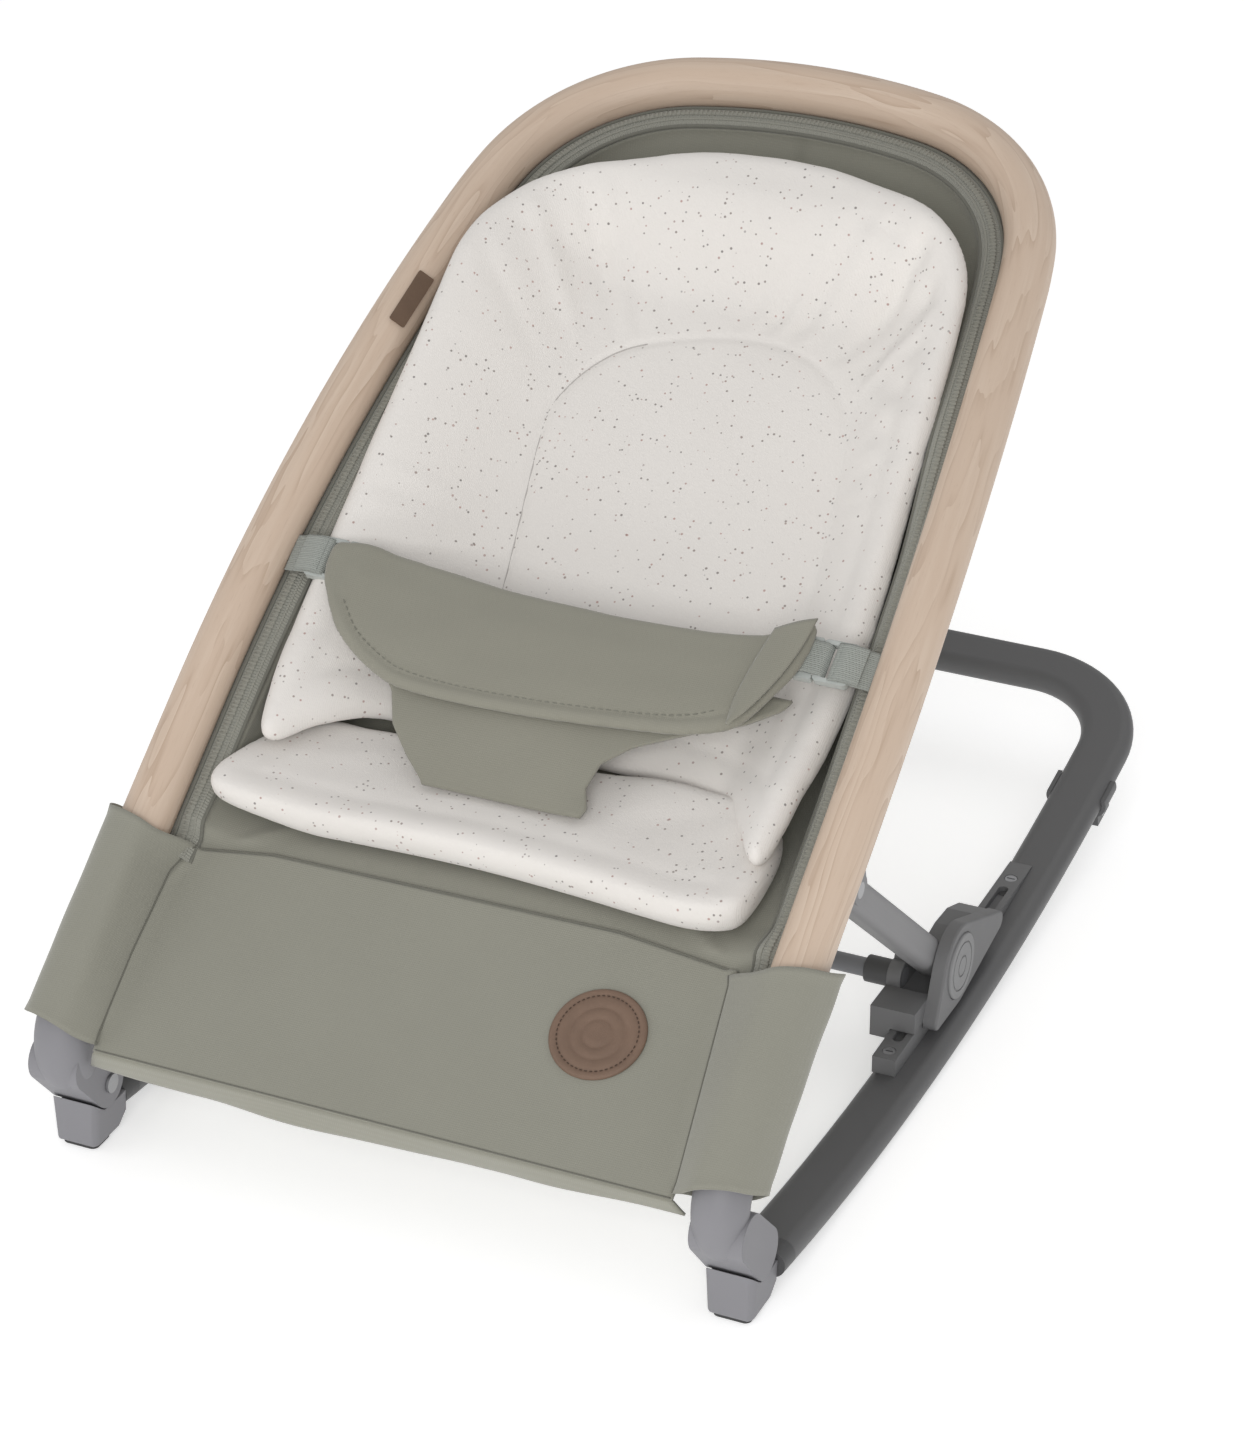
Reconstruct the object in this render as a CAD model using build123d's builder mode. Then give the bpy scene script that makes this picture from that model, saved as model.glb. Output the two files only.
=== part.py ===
from build123d import *
import os
from math import acos, asin, atan2, cos, degrees, hypot, radians, sin, sqrt

# Folding baby bouncer seat: a wood hoop on a rocking tube base.
# Millimetres. X is right, Y is back, Z is up, and X = 0 is the mirror plane.
# Side views are drawn in (back, up) with back = 0 at the front feet.

# Overall placing: the part's origin is the middle of its footprint, on the floor.
FRONT_EDGE = -38.37
REAR_EDGE = 693.24
MID_BACK = (FRONT_EDGE + REAR_EDGE) / 2

# Rocking base: a flat oval tube bent to a U, curved like a rocker.
RAIL_X = 212.5
RAIL_WIDTH = 35
RAIL_HEIGHT = 17
RAIL_WALL = 1.5
RAIL_CORNER = 69
ROCKER_RADIUS = 1670
ROCKER_LOW = 224.3
RAIL_FRONT = 38
REAR_BAR = 676

# Folding linkage in the side view: front hinge, hub, and two equal arms.
FRONT_HINGE = (4, 41)
HUB = (319, 52)
ARM = 214.2

# Wood hoop: a round bar, two bowed legs and a flat arch between them.
WOOD_RADIUS = 16
LEG_X = 209
LEG_END = (16.1, 120.5)
LEG_BEND = (154.0, 224.0)
LEG_END_ANGLE = 37.45
LEG_BEND_ANGLE = 36.33
ARCH_START = (485.6, 425.6)
ARCH_ANGLE = 26.23
TOP_RADIUS, TOP_TURN = 401.9, 11.34
CORNER_RADIUS, CORNER_TURN = 127.6, 66.13
SIDE_RADIUS, SIDE_TURN = 342.9, 5.11
TAPER_TURN = 90 - TOP_TURN - CORNER_TURN - SIDE_TURN

# Plastic leg ends and front feet.
LEG_END_RADIUS = 16.5
LEG_STRAIGHT = 35
NECK_RADIUS = 26
NECK_TURN = 84
BARREL_RADIUS = 15.5
FOOT_X = 210.5
BARREL_WIDTH = 32.5
BARREL_BORE_END = 225.2
TONGUE = 11
EAR = 5
SIDE_GAP = 0.5
HINGE_PIN_RADIUS = 4
RUNNING = 0.06

# Struts, hubs and the track they slide on.
STRUT_X = 203.5
STRUT_WIDTH = 18
STRUT_HEIGHT = 21
HUB_PIN_RADIUS = 5
HUB_INNER_X = 184
CHEEK_X = 213
HUB_OUTER_X = 222
HEAD_RADIUS = 27
BUTTON_RADIUS = 21
BUTTON_TRAVEL = 4
TRACK_X = 205
TRACK_WIDTH = 15
TRACK_TOP = 31.5
TRACK_SPAN = (236, 476)
SLOT_SPAN = (256, 446)
SLOT_WIDTH = 6.4
CROSSBAR = (301, 47)
CROSSBAR_RADIUS = 6

# Fold-down rear feet.
REAR_FOOT = 570
REAR_PIN_DROP = 14
REAR_PIN_RADIUS = 3

# Soft goods.
SLEEVE_RADIUS = 19.8
SLEEVE_WALL = 2.2
BAND_INSET = (17, 31)
FABRIC = 2.5
SEAT_FRONT = (112, 171)
SEAT_ANGLE = 8
SEAT_PAD_THICK = 26
SEAT_PAD_LENGTH = 91
SEAT_PAD_WIDTH = 344
CREASE = (205, 210)
BACK_ANGLE = 34.9
BACK_PAD_THICK = 22
BACK_PAD_INSET = 36
SCOOP_FLAT = 110
SCOOP_RISE = 0.626
WING_HEIGHT = 36.3
PANEL_FOOT = (-29, 86)
PANEL_ANGLE = 31.9
PANEL_LENGTH = 143
PANEL_WIDTH = 374
BELT_PLACE = (225, 270)
BELT_ANGLE = 34.5
BELT_THICK = 7

os.makedirs("parts", exist_ok=True)


def along(start, angle, distance):
    """Point of the side view at a distance from start in a direction."""
    back, up = start
    return (back + distance * cos(radians(angle)), up + distance * sin(radians(angle)))


def side_plane(x):
    """Side view plane at x: its own axes are back and up, and it faces +X."""
    return Plane(origin=(x, -MID_BACK, 0), x_dir=(0, 1, 0), z_dir=(1, 0, 0))


def slope_plane(place, angle):
    """Plane through a side view point that rises towards the back at an angle."""
    normal = (0, -sin(radians(angle)), cos(radians(angle)))
    return Plane(origin=(0, place[0] - MID_BACK, place[1]), x_dir=(1, 0, 0), z_dir=normal)


def section_plane(x, place, angle):
    """Plane across a bar that runs up and back at an angle: it faces down the bar."""
    direction = (0, -cos(radians(angle)), -sin(radians(angle)))
    return Plane(origin=(x, place[0] - MID_BACK, place[1]), x_dir=(1, 0, 0), z_dir=direction)


def global_point(x, place):
    """Vector of a side view point at x."""
    return Vector(x, place[0] - MID_BACK, place[1])


def save(builder, name):
    """Label a finished piece and write its STEP file."""
    builder.part.label = name
    export_step(builder.part, f"parts/{name}.step")


def save_mirrored(builder, name, other):
    """Write a right hand piece and its left hand mirror image."""
    save(builder, name)
    with BuildPart() as mirrored:
        add(mirror(builder.part, about=Plane.YZ, mode=Mode.PRIVATE))
    save(mirrored, other)


def rocker_up(back):
    """Height of the rail's centre line above the floor."""
    run = back - ROCKER_LOW
    return RAIL_HEIGHT / 2 + ROCKER_RADIUS - sqrt(ROCKER_RADIUS**2 - run**2)


def rocker_slope(back):
    """Slope of the rail in degrees."""
    return degrees(asin((back - ROCKER_LOW) / ROCKER_RADIUS))


# The slide line runs from the front hinge to the hub, and the arms meet above it.
SLIDE_LENGTH = hypot(HUB[0] - FRONT_HINGE[0], HUB[1] - FRONT_HINGE[1])
SLIDE_ANGLE = degrees(atan2(HUB[1] - FRONT_HINGE[1], HUB[0] - FRONT_HINGE[0]))
ARM_ANGLE = degrees(acos(SLIDE_LENGTH / 2 / ARM))
STRUT_TOP = along(FRONT_HINGE, SLIDE_ANGLE + ARM_ANGLE, ARM)

ARCH_PLANE = slope_plane(ARCH_START, ARCH_ANGLE)
ARCH_HEIGHT = (
    TOP_RADIUS * (1 - cos(radians(TOP_TURN)))
    + CORNER_RADIUS * (cos(radians(TOP_TURN)) - cos(radians(TOP_TURN + CORNER_TURN)))
    + SIDE_RADIUS * (cos(radians(TOP_TURN + CORNER_TURN)) - cos(radians(90 - TAPER_TURN)))
)
ARCH_X = (
    TOP_RADIUS * sin(radians(TOP_TURN))
    + CORNER_RADIUS * (sin(radians(TOP_TURN + CORNER_TURN)) - sin(radians(TOP_TURN)))
    + SIDE_RADIUS * (cos(radians(TAPER_TURN)) - sin(radians(TOP_TURN + CORNER_TURN)))
)
TAPER_RADIUS = (LEG_X - ARCH_X) / (1 - cos(radians(TAPER_TURN)))
TAPER_LENGTH = TAPER_RADIUS * sin(radians(TAPER_TURN))


# ---------------------------------------------------------------- rocking base

rear_start = REAR_BAR - RAIL_CORNER * cos(radians(rocker_slope(REAR_BAR - RAIL_CORNER)))
REAR_SLOPE = rocker_slope(rear_start)
REAR_PLACE = along((rear_start, rocker_up(rear_start)), REAR_SLOPE, RAIL_CORNER)
REAR_PLANE = slope_plane(REAR_PLACE, REAR_SLOPE)


def rail_path():
    """Right half of the base tube's centre line, from the rear middle forwards."""
    with BuildLine(REAR_PLANE) as rear:
        bar = Line((0, 0), (RAIL_X - RAIL_CORNER, 0))
        corner = JernArc(bar @ 1, bar % 1, RAIL_CORNER, -90)
    with BuildLine() as path:
        add(rear.line)
        front = global_point(RAIL_X, (RAIL_FRONT, rocker_up(RAIL_FRONT)))
        TangentArc(corner @ 1, front, tangent=corner % 1)
    return path.line


def rail_bar(wall, name):
    """Half of the base tube swept along its path, hollow where it has a wall."""
    with BuildPart() as bar:
        across = Plane(REAR_PLANE.origin, x_dir=REAR_PLANE.y_dir, z_dir=(1, 0, 0))
        with BuildSketch(across):
            SlotOverall(RAIL_WIDTH, RAIL_HEIGHT)
            if wall:
                SlotOverall(RAIL_WIDTH - 2 * wall, RAIL_HEIGHT - 2 * wall, mode=Mode.SUBTRACT)
        sweep(path=rail_path())
        mirror(about=Plane.YZ)
    bar.part.label = name
    return bar


def base_tube():
    save(rail_bar(RAIL_WALL, "base_tube"), "base_tube")


def rail_plugs():
    """Plastic plug in each front end of the base tube."""
    angle = rocker_slope(RAIL_FRONT)
    place = (RAIL_FRONT, rocker_up(RAIL_FRONT))
    reach = 24
    spigot = 22
    with BuildPart() as plug:
        with BuildSketch(section_plane(RAIL_X, place, angle)):
            SlotOverall(RAIL_WIDTH, RAIL_HEIGHT)
        extrude(amount=reach)
        with BuildSketch(section_plane(RAIL_X, place, angle)):
            SlotOverall(RAIL_WIDTH - 2 * RAIL_WALL, RAIL_HEIGHT - 2 * RAIL_WALL)
        extrude(amount=-spigot)
        with BuildSketch(side_plane(RAIL_X)):
            with Locations((0, 20)):
                Rectangle(2 * 22.5, 80)
        extrude(amount=RAIL_WIDTH, both=True, mode=Mode.SUBTRACT)
    save_mirrored(plug, "rail_plug_right", "rail_plug_left")


def front_feet():
    """Foot block with the tongue that carries the front hinge pin."""
    tread = 3
    block_top = 24.6
    tongue_radius = 10.5
    with BuildPart() as foot:
        with BuildSketch(side_plane(FOOT_X)):
            with BuildLine():
                Polyline(
                    (-13.2, 34.2),
                    (-6, 27.9),
                    (-2, 25.2),
                    (4, block_top),
                    (22.4, block_top),
                    (22.4, 11),
                    (12.5, tread),
                    (-12.4, tread),
                    close=True,
                )
            make_face()
        extrude(amount=BARREL_WIDTH / 2, both=True)
        with BuildSketch(Plane((FOOT_X, 16.8 - MID_BACK, 0))):
            RectangleRounded(28, 60, 6)
        extrude(amount=60, taper=-2.5, mode=Mode.INTERSECT)
        fillet(foot.faces().sort_by(Axis.Z)[0].edges(), 2)
        with BuildSketch(side_plane(FOOT_X)):
            with Locations(FRONT_HINGE):
                Circle(tongue_radius)
            with BuildLine():
                Polyline(FRONT_HINGE, along(FRONT_HINGE, 248, 20), along(FRONT_HINGE, 290, 20), close=True)
            make_face()
        extrude(amount=TONGUE / 2, both=True)
        with BuildSketch(side_plane(0)):
            with Locations(FRONT_HINGE):
                Circle(HINGE_PIN_RADIUS)
        extrude(amount=FOOT_X + 40, mode=Mode.SUBTRACT)
    save_mirrored(foot, "front_foot_right", "front_foot_left")


def foot_pads():
    """Soft tread under each front foot."""
    with BuildPart() as pad:
        with BuildSketch(Plane((FOOT_X, -MID_BACK, 0))):
            RectangleRounded(23, 19, 4)
        extrude(amount=3)
    save_mirrored(pad, "foot_pad_right", "foot_pad_left")


def pin_pair(name, radius, place, ends, head):
    """Two equal cross pins, one each side, with a low head at the inner end."""
    with BuildPart() as pins:
        with BuildSketch(side_plane(ends[0])):
            with Locations(place):
                Circle(radius)
        extrude(amount=ends[1] - ends[0])
        with BuildSketch(side_plane(ends[0])):
            with Locations(place):
                Circle(radius + head)
        extrude(amount=-1.5)
        mirror(about=Plane.YZ)
    save(pins, name)


def front_hinge_pins():
    inner = FOOT_X - BARREL_WIDTH / 2 - SIDE_GAP
    outer = BARREL_BORE_END - 0.4
    pin_pair("front_hinge_pins", HINGE_PIN_RADIUS, FRONT_HINGE, (inner, outer), 2)


def slide_up(back):
    """Height of the track's top face: it runs straight, parallel to the slide line."""
    return TRACK_TOP + (back - HUB[0]) * sin(radians(SLIDE_ANGLE)) / cos(radians(SLIDE_ANGLE))


def tracks():
    """Straight slotted track on each rail, with its slot and screw seats."""
    front, rear = TRACK_SPAN
    seat = RAIL_HEIGHT / 2 + 0.1
    middle = (front + rear) / 2
    slot_depth = 4.2
    with BuildPart() as track:
        with BuildSketch(side_plane(TRACK_X)):
            with BuildLine():
                low_front = (front, rocker_up(front) + seat)
                low_rear = (rear, rocker_up(rear) + seat + 0.3)
                ThreePointArc(low_front, (middle, rocker_up(middle) + seat), low_rear)
                Polyline(low_rear, (rear, slide_up(rear)), (front, slide_up(front)), low_front)
            make_face()
        extrude(amount=TRACK_WIDTH / 2, both=True)
        top = slope_plane((HUB[0], TRACK_TOP), SLIDE_ANGLE)
        slot_middle = (SLOT_SPAN[0] + SLOT_SPAN[1]) / 2 - HUB[0]
        with BuildSketch(top):
            with Locations((TRACK_X, slot_middle)):
                SlotOverall(SLOT_SPAN[1] - SLOT_SPAN[0], SLOT_WIDTH, rotation=90)
        extrude(amount=-slot_depth, mode=Mode.SUBTRACT)
        with BuildSketch(top):
            with Locations((TRACK_X, 245 - HUB[0]), (TRACK_X, 457 - HUB[0])):
                Circle(4.2)
        extrude(amount=-1.8, mode=Mode.SUBTRACT)
    save_mirrored(track, "track_right", "track_left")


def track_screws():
    """Four equal round head screws that hold the tracks."""
    top = slope_plane((HUB[0], TRACK_TOP), SLIDE_ANGLE)
    places = [(x, back - HUB[0]) for x in (-TRACK_X, TRACK_X) for back in (245, 457)]
    with BuildPart() as screws:
        with BuildSketch(top.offset(-1.8)):
            with Locations(*places):
                Circle(3.9)
        extrude(amount=1.5)
        with BuildSketch(top.offset(-0.3)):
            with Locations(*places):
                SlotOverall(5.4, 1.1)
        extrude(amount=-0.8, mode=Mode.SUBTRACT)
    save(screws, "track_screws")


# ------------------------------------------------------- fold-down rear feet

REAR_MOUNT = (REAR_FOOT, rocker_up(REAR_FOOT))
REAR_FOOT_SLOPE = rocker_slope(REAR_FOOT)
REAR_PIN = along(REAR_MOUNT, REAR_FOOT_SLOPE - 90, REAR_PIN_DROP)


def rear_brackets():
    """Saddle that wraps each rail from below and holds the rear foot's pin."""
    length = 22
    skin = 3
    fit = 0.15
    lug_drop = 18
    with BuildPart() as bracket:
        with BuildSketch(section_plane(RAIL_X, REAR_MOUNT, REAR_FOOT_SLOPE)):
            SlotOverall(RAIL_WIDTH + 2 * skin, RAIL_HEIGHT + 2 * skin)
            with Locations((0, RAIL_HEIGHT)):
                Rectangle(2 * RAIL_WIDTH, 2 * RAIL_HEIGHT - 8, mode=Mode.SUBTRACT)
            with Locations((-12.5, -lug_drop / 2 - 2), (12.5, -lug_drop / 2 - 2)):
                Rectangle(5, lug_drop - 4)
            SlotOverall(RAIL_WIDTH + 2 * fit, RAIL_HEIGHT + 2 * fit, mode=Mode.SUBTRACT)
        extrude(amount=length / 2, both=True)
        with BuildSketch(side_plane(0)):
            with Locations(REAR_PIN):
                Circle(REAR_PIN_RADIUS)
        extrude(amount=RAIL_X + 40, mode=Mode.SUBTRACT)
        bridge = along(REAR_MOUNT, REAR_FOOT_SLOPE, 6.2)
        with BuildSketch(section_plane(RAIL_X, bridge, REAR_FOOT_SLOPE)):
            with Locations((0, -RAIL_HEIGHT / 2 - 6)):
                Rectangle(19.6, 11.8)
        extrude(amount=length, mode=Mode.SUBTRACT)
    save_mirrored(bracket, "rear_bracket_right", "rear_bracket_left")


def rear_feet():
    """Foot arm that lies forward along the rail and folds down to the floor."""
    arm = REAR_PIN[1] - 3
    with BuildPart() as foot:
        with BuildSketch(side_plane(RAIL_X)):
            with BuildLine():
                tip = along(REAR_PIN, REAR_FOOT_SLOPE + 180, arm)
                upper = along(tip, REAR_FOOT_SLOPE + 90, 4)
                lower = along(tip, REAR_FOOT_SLOPE - 90, 6)
                Polyline(
                    along(REAR_PIN, REAR_FOOT_SLOPE + 90, 4.5),
                    upper,
                    lower,
                    along(REAR_PIN, REAR_FOOT_SLOPE - 90, 4.5),
                    close=True,
                )
            make_face()
            with Locations(REAR_PIN):
                Circle(4.5)
                Circle(REAR_PIN_RADIUS + RUNNING, mode=Mode.SUBTRACT)
        extrude(amount=9.4, both=True)
    save_mirrored(foot, "rear_foot_right", "rear_foot_left")
    with BuildPart() as pad:
        tip = along(REAR_PIN, REAR_FOOT_SLOPE + 180, arm)
        middle = along(tip, REAR_FOOT_SLOPE - 90, 1)
        with BuildSketch(section_plane(RAIL_X, middle, REAR_FOOT_SLOPE)):
            RectangleRounded(17, 9, 2)
        extrude(amount=3)
    save_mirrored(pad, "rear_foot_pad_right", "rear_foot_pad_left")


def rear_foot_pins():
    pin_pair("rear_foot_pins", REAR_PIN_RADIUS, REAR_PIN, (RAIL_X - 15, RAIL_X + 15), 1.5)


# ------------------------------------------------------------------ wood hoop


def hoop_path():
    """Right half of the hoop's centre line, from the top middle down to the leg end."""
    with BuildLine(ARCH_PLANE) as arch:
        top = JernArc((0, ARCH_HEIGHT), (1, 0), TOP_RADIUS, -TOP_TURN)
        corner = JernArc(top @ 1, top % 1, CORNER_RADIUS, -CORNER_TURN)
        side = JernArc(corner @ 1, corner % 1, SIDE_RADIUS, -SIDE_TURN)
    with BuildLine() as path:
        add(arch.line)
        bow = TangentArc(side @ 1, global_point(LEG_X, LEG_BEND), tangent=side % 1)
        TangentArc(bow @ 1, global_point(LEG_X, LEG_END), tangent=bow % 1)
    return path.line


def seat_hoop():
    """Wood hoop with a socket bored in each end."""
    with BuildPart() as hoop:
        with BuildSketch(Plane(ARCH_PLANE.from_local_coords((0, ARCH_HEIGHT, 0)), z_dir=(1, 0, 0))):
            Circle(WOOD_RADIUS)
        sweep(path=hoop_path())
        with BuildSketch(section_plane(LEG_X, LEG_END, LEG_END_ANGLE)):
            Circle(9)
        extrude(amount=-25, mode=Mode.SUBTRACT)
        mirror(about=Plane.YZ)
    save(hoop, "seat_hoop")


def leg_ends():
    """Curved plastic end of each leg, with the barrel of the front hinge."""
    with BuildPart() as end:
        with BuildLine(side_plane(LEG_X)) as neck:
            straight = Line(LEG_END, along(LEG_END, LEG_END_ANGLE + 180, LEG_STRAIGHT))
            bend = JernArc(straight @ 1, straight % 1, NECK_RADIUS, NECK_TURN)
        with BuildSketch(section_plane(LEG_X, LEG_END, LEG_END_ANGLE)):
            Circle(LEG_END_RADIUS)
        sweep(path=neck.line)
        knee = (bend @ 1).Y + MID_BACK, (bend @ 1).Z
        with Locations(bend @ 1):
            Sphere(LEG_END_RADIUS)
        with BuildSketch(side_plane(FOOT_X)):
            with BuildLine():
                CenterArc(knee, BARREL_RADIUS - 1, 0, 360)
                CenterArc(FRONT_HINGE, BARREL_RADIUS, 0, 360)
            make_hull()
        extrude(amount=BARREL_WIDTH / 2, both=True)
        with BuildSketch(section_plane(LEG_X, LEG_END, LEG_END_ANGLE)):
            Circle(9)
        extrude(amount=-24.5)
        with BuildSketch(side_plane(FOOT_X)):
            with Locations(FRONT_HINGE):
                Circle(11.3)
            with BuildLine():
                Polyline(
                    FRONT_HINGE,
                    along(FRONT_HINGE, 238, 30),
                    along(FRONT_HINGE, 279, 36),
                    along(FRONT_HINGE, 321, 30),
                    close=True,
                )
            make_face()
        extrude(amount=TONGUE / 2 + SIDE_GAP, both=True, mode=Mode.SUBTRACT)
        with BuildSketch(side_plane(0)):
            with Locations(FRONT_HINGE):
                Circle(HINGE_PIN_RADIUS + RUNNING)
        extrude(amount=BARREL_BORE_END, mode=Mode.SUBTRACT)
    save_mirrored(end, "leg_end_right", "leg_end_left")


# ------------------------------------------------------------ struts and hubs


def strut_brackets():
    """Saddle under each leg with two ears for the strut's upper pin."""
    half = STRUT_WIDTH / 2 + SIDE_GAP
    back_from_bend = 12
    saddle_place = along(LEG_BEND, LEG_BEND_ANGLE + 180, back_from_bend)
    with BuildPart() as bracket:
        for x in (STRUT_X - half - EAR, STRUT_X + half):
            with BuildSketch(side_plane(x)):
                with Locations(STRUT_TOP):
                    Circle(9)
                with BuildLine():
                    Polyline(
                        along(STRUT_TOP, LEG_BEND_ANGLE + 180, 9),
                        along(saddle_place, LEG_BEND_ANGLE + 180, 14),
                        along(saddle_place, LEG_BEND_ANGLE, 14),
                        along(STRUT_TOP, LEG_BEND_ANGLE, 9),
                        close=True,
                    )
                make_face()
            extrude(amount=EAR)
        with BuildSketch(section_plane(LEG_X, saddle_place, LEG_BEND_ANGLE)):
            with Locations((-6, -13)):
                Rectangle(28, 7.4)
        extrude(amount=14, both=True)
        with BuildSketch(section_plane(LEG_X, saddle_place, LEG_BEND_ANGLE)):
            Circle(WOOD_RADIUS + 0.15)
        extrude(amount=60, both=True, mode=Mode.SUBTRACT)
        with BuildSketch(section_plane(LEG_X, saddle_place, LEG_BEND_ANGLE)):
            with Locations((0, 21)):
                Rectangle(80, 60)
        extrude(amount=60, both=True, mode=Mode.SUBTRACT)
        with BuildSketch(side_plane(0)):
            with Locations(STRUT_TOP):
                Circle(HUB_PIN_RADIUS)
        extrude(amount=LEG_X + 40, mode=Mode.SUBTRACT)
    save_mirrored(bracket, "strut_bracket_right", "strut_bracket_left")


def strut_top_pins():
    reach = STRUT_WIDTH / 2 + SIDE_GAP + EAR
    pin_pair("strut_top_pins", HUB_PIN_RADIUS, STRUT_TOP, (STRUT_X - reach, STRUT_X + reach), 2)


def struts():
    """Oval plastic arm between the leg bracket and the hub."""
    angle = degrees(atan2(HUB[1] - STRUT_TOP[1], HUB[0] - STRUT_TOP[0]))
    middle = ((STRUT_TOP[0] + HUB[0]) / 2, (STRUT_TOP[1] + HUB[1]) / 2)
    with BuildPart() as strut:
        with BuildSketch(side_plane(STRUT_X)):
            with Locations(middle):
                SlotCenterToCenter(ARM, STRUT_HEIGHT, rotation=angle)
        extrude(amount=STRUT_WIDTH / 2, both=True)
        fillet(strut.faces().filter_by(Axis.X).edges(), 6)
        with BuildSketch(side_plane(0)):
            with Locations(STRUT_TOP, HUB):
                Circle(HUB_PIN_RADIUS + RUNNING)
        extrude(amount=STRUT_X + 40, mode=Mode.SUBTRACT)
    save_mirrored(strut, "strut_right", "strut_left")


def strut_screws():
    """Screw head on the upper face of each strut, near its top."""
    angle = degrees(atan2(HUB[1] - STRUT_TOP[1], HUB[0] - STRUT_TOP[0]))
    face = along(along(STRUT_TOP, angle, 26), angle + 90, STRUT_HEIGHT / 2 + 0.02)
    top = slope_plane(face, angle)
    with BuildPart() as screws:
        with BuildSketch(top):
            with Locations((STRUT_X, 0), (-STRUT_X, 0)):
                Circle(2.9)
        extrude(amount=1.2)
        with BuildSketch(top.offset(1.2)):
            with Locations((STRUT_X, 0), (-STRUT_X, 0)):
                RegularPolygon(1.3, 6)
        extrude(amount=-0.8, mode=Mode.SUBTRACT)
    save(screws, "strut_screws")


def hubs():
    """Hub housing: outer cheek, inner ear, floor, front box and rear block."""
    floor_up = 0.4
    pocket_up = 40.8

    def low(back):
        return slide_up(back) + floor_up

    with BuildPart() as hub:
        with BuildSketch(side_plane(CHEEK_X)):
            with BuildLine():
                CenterArc(HUB, HEAD_RADIUS, 0, 360)
                CenterArc((284.5, 29.5), 4.5, 0, 360)
                CenterArc((389, 45.5), 6.5, 0, 360)
            make_hull()
        extrude(amount=HUB_OUTER_X - CHEEK_X)
        fillet(hub.faces().sort_by(Axis.X)[-1].edges(), 1.5)
        with BuildSketch(side_plane(HUB_INNER_X)):
            with BuildLine():
                Polyline((266, low(266)), (266, 44), (292, 44), (292, pocket_up),
                         (345, pocket_up), (345, low(345)), close=True)
            make_face()
        extrude(amount=CHEEK_X - HUB_INNER_X)
        with BuildSketch(side_plane(HUB_INNER_X)):
            with Locations((279, 30)):
                Rectangle(26, 14)
        extrude(amount=13)
        with BuildSketch(side_plane(HUB_INNER_X)):
            with Locations(HUB):
                Circle(15)
            with Locations((HUB[0], HUB[1] - 9)):
                Rectangle(30, 18)
            with Locations(CROSSBAR):
                Circle(9.5)
        extrude(amount=9)
        with BuildSketch(side_plane(STRUT_X - STRUT_WIDTH / 2 + 0.5)):
            with BuildLine():
                Polyline((329.3, 40), (329.3, 59.3), (345, 62), (366, 61), (388, 53),
                         (392, 48), (392, low(392) + 2), (345, low(345)), close=True)
            make_face()
            with Locations(HUB):
                Circle(STRUT_HEIGHT / 2 + 1.5, mode=Mode.SUBTRACT)
        extrude(amount=CHEEK_X - STRUT_X + STRUT_WIDTH / 2 - 0.5)
        with BuildSketch(side_plane(HUB_OUTER_X)):
            with Locations(HUB):
                Circle(BUTTON_RADIUS + 0.3)
        extrude(amount=-7.4, mode=Mode.SUBTRACT)
        with BuildSketch(side_plane(HUB_INNER_X)):
            with Locations(HUB):
                Circle(HUB_PIN_RADIUS)
            with Locations(CROSSBAR):
                Circle(CROSSBAR_RADIUS)
        extrude(amount=9, mode=Mode.SUBTRACT)
        with BuildSketch(side_plane(CHEEK_X)):
            with Locations(HUB):
                Circle(HUB_PIN_RADIUS)
        extrude(amount=1.3, mode=Mode.SUBTRACT)
    save_mirrored(hub, "hub_right", "hub_left")


def hub_pins():
    with BuildPart() as pins:
        with BuildSketch(side_plane(HUB_INNER_X)):
            with Locations(HUB):
                Circle(HUB_PIN_RADIUS)
        extrude(amount=CHEEK_X - HUB_INNER_X + 1.2)
        mirror(about=Plane.YZ)
    save(pins, "hub_pins")


def hub_buttons():
    """Round release button in the outer cheek, with a raised ring and a thumb dish."""
    inner = HUB_OUTER_X - 7.4 + BUTTON_TRAVEL + 0.2
    outer = HUB_OUTER_X + 1.4
    with BuildPart() as button:
        with BuildSketch(side_plane(inner)):
            with Locations(HUB):
                Circle(BUTTON_RADIUS)
        extrude(amount=outer - inner)
        fillet(button.faces().sort_by(Axis.X)[-1].edges(), 1)
        with BuildSketch(side_plane(outer)):
            with Locations(HUB):
                Circle(16)
                Circle(15, mode=Mode.SUBTRACT)
        extrude(amount=-0.6, mode=Mode.SUBTRACT)
        with BuildSketch(side_plane(outer)):
            with Locations(HUB):
                Circle(7)
                Circle(6, mode=Mode.SUBTRACT)
        extrude(amount=-0.6, mode=Mode.SUBTRACT)
    save_mirrored(button, "release_button_right", "release_button_left")


def crossbar():
    """Steel bar between the hubs, and the two collars it stands in."""
    with BuildPart() as bar:
        with BuildSketch(side_plane(0)):
            with Locations(CROSSBAR):
                Circle(CROSSBAR_RADIUS)
        extrude(amount=HUB_INNER_X + 8.9, both=True)
    save(bar, "crossbar")
    with BuildPart() as collars:
        with BuildSketch(side_plane(HUB_INNER_X - 16)):
            with Locations(CROSSBAR):
                Circle(8.6)
                Circle(CROSSBAR_RADIUS, mode=Mode.SUBTRACT)
        extrude(amount=16)
        fillet(collars.faces().sort_by(Axis.X)[0].edges().sort_by(SortBy.RADIUS)[-1], 1)
        mirror(about=Plane.YZ)
    save(collars, "crossbar_collars")


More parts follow.
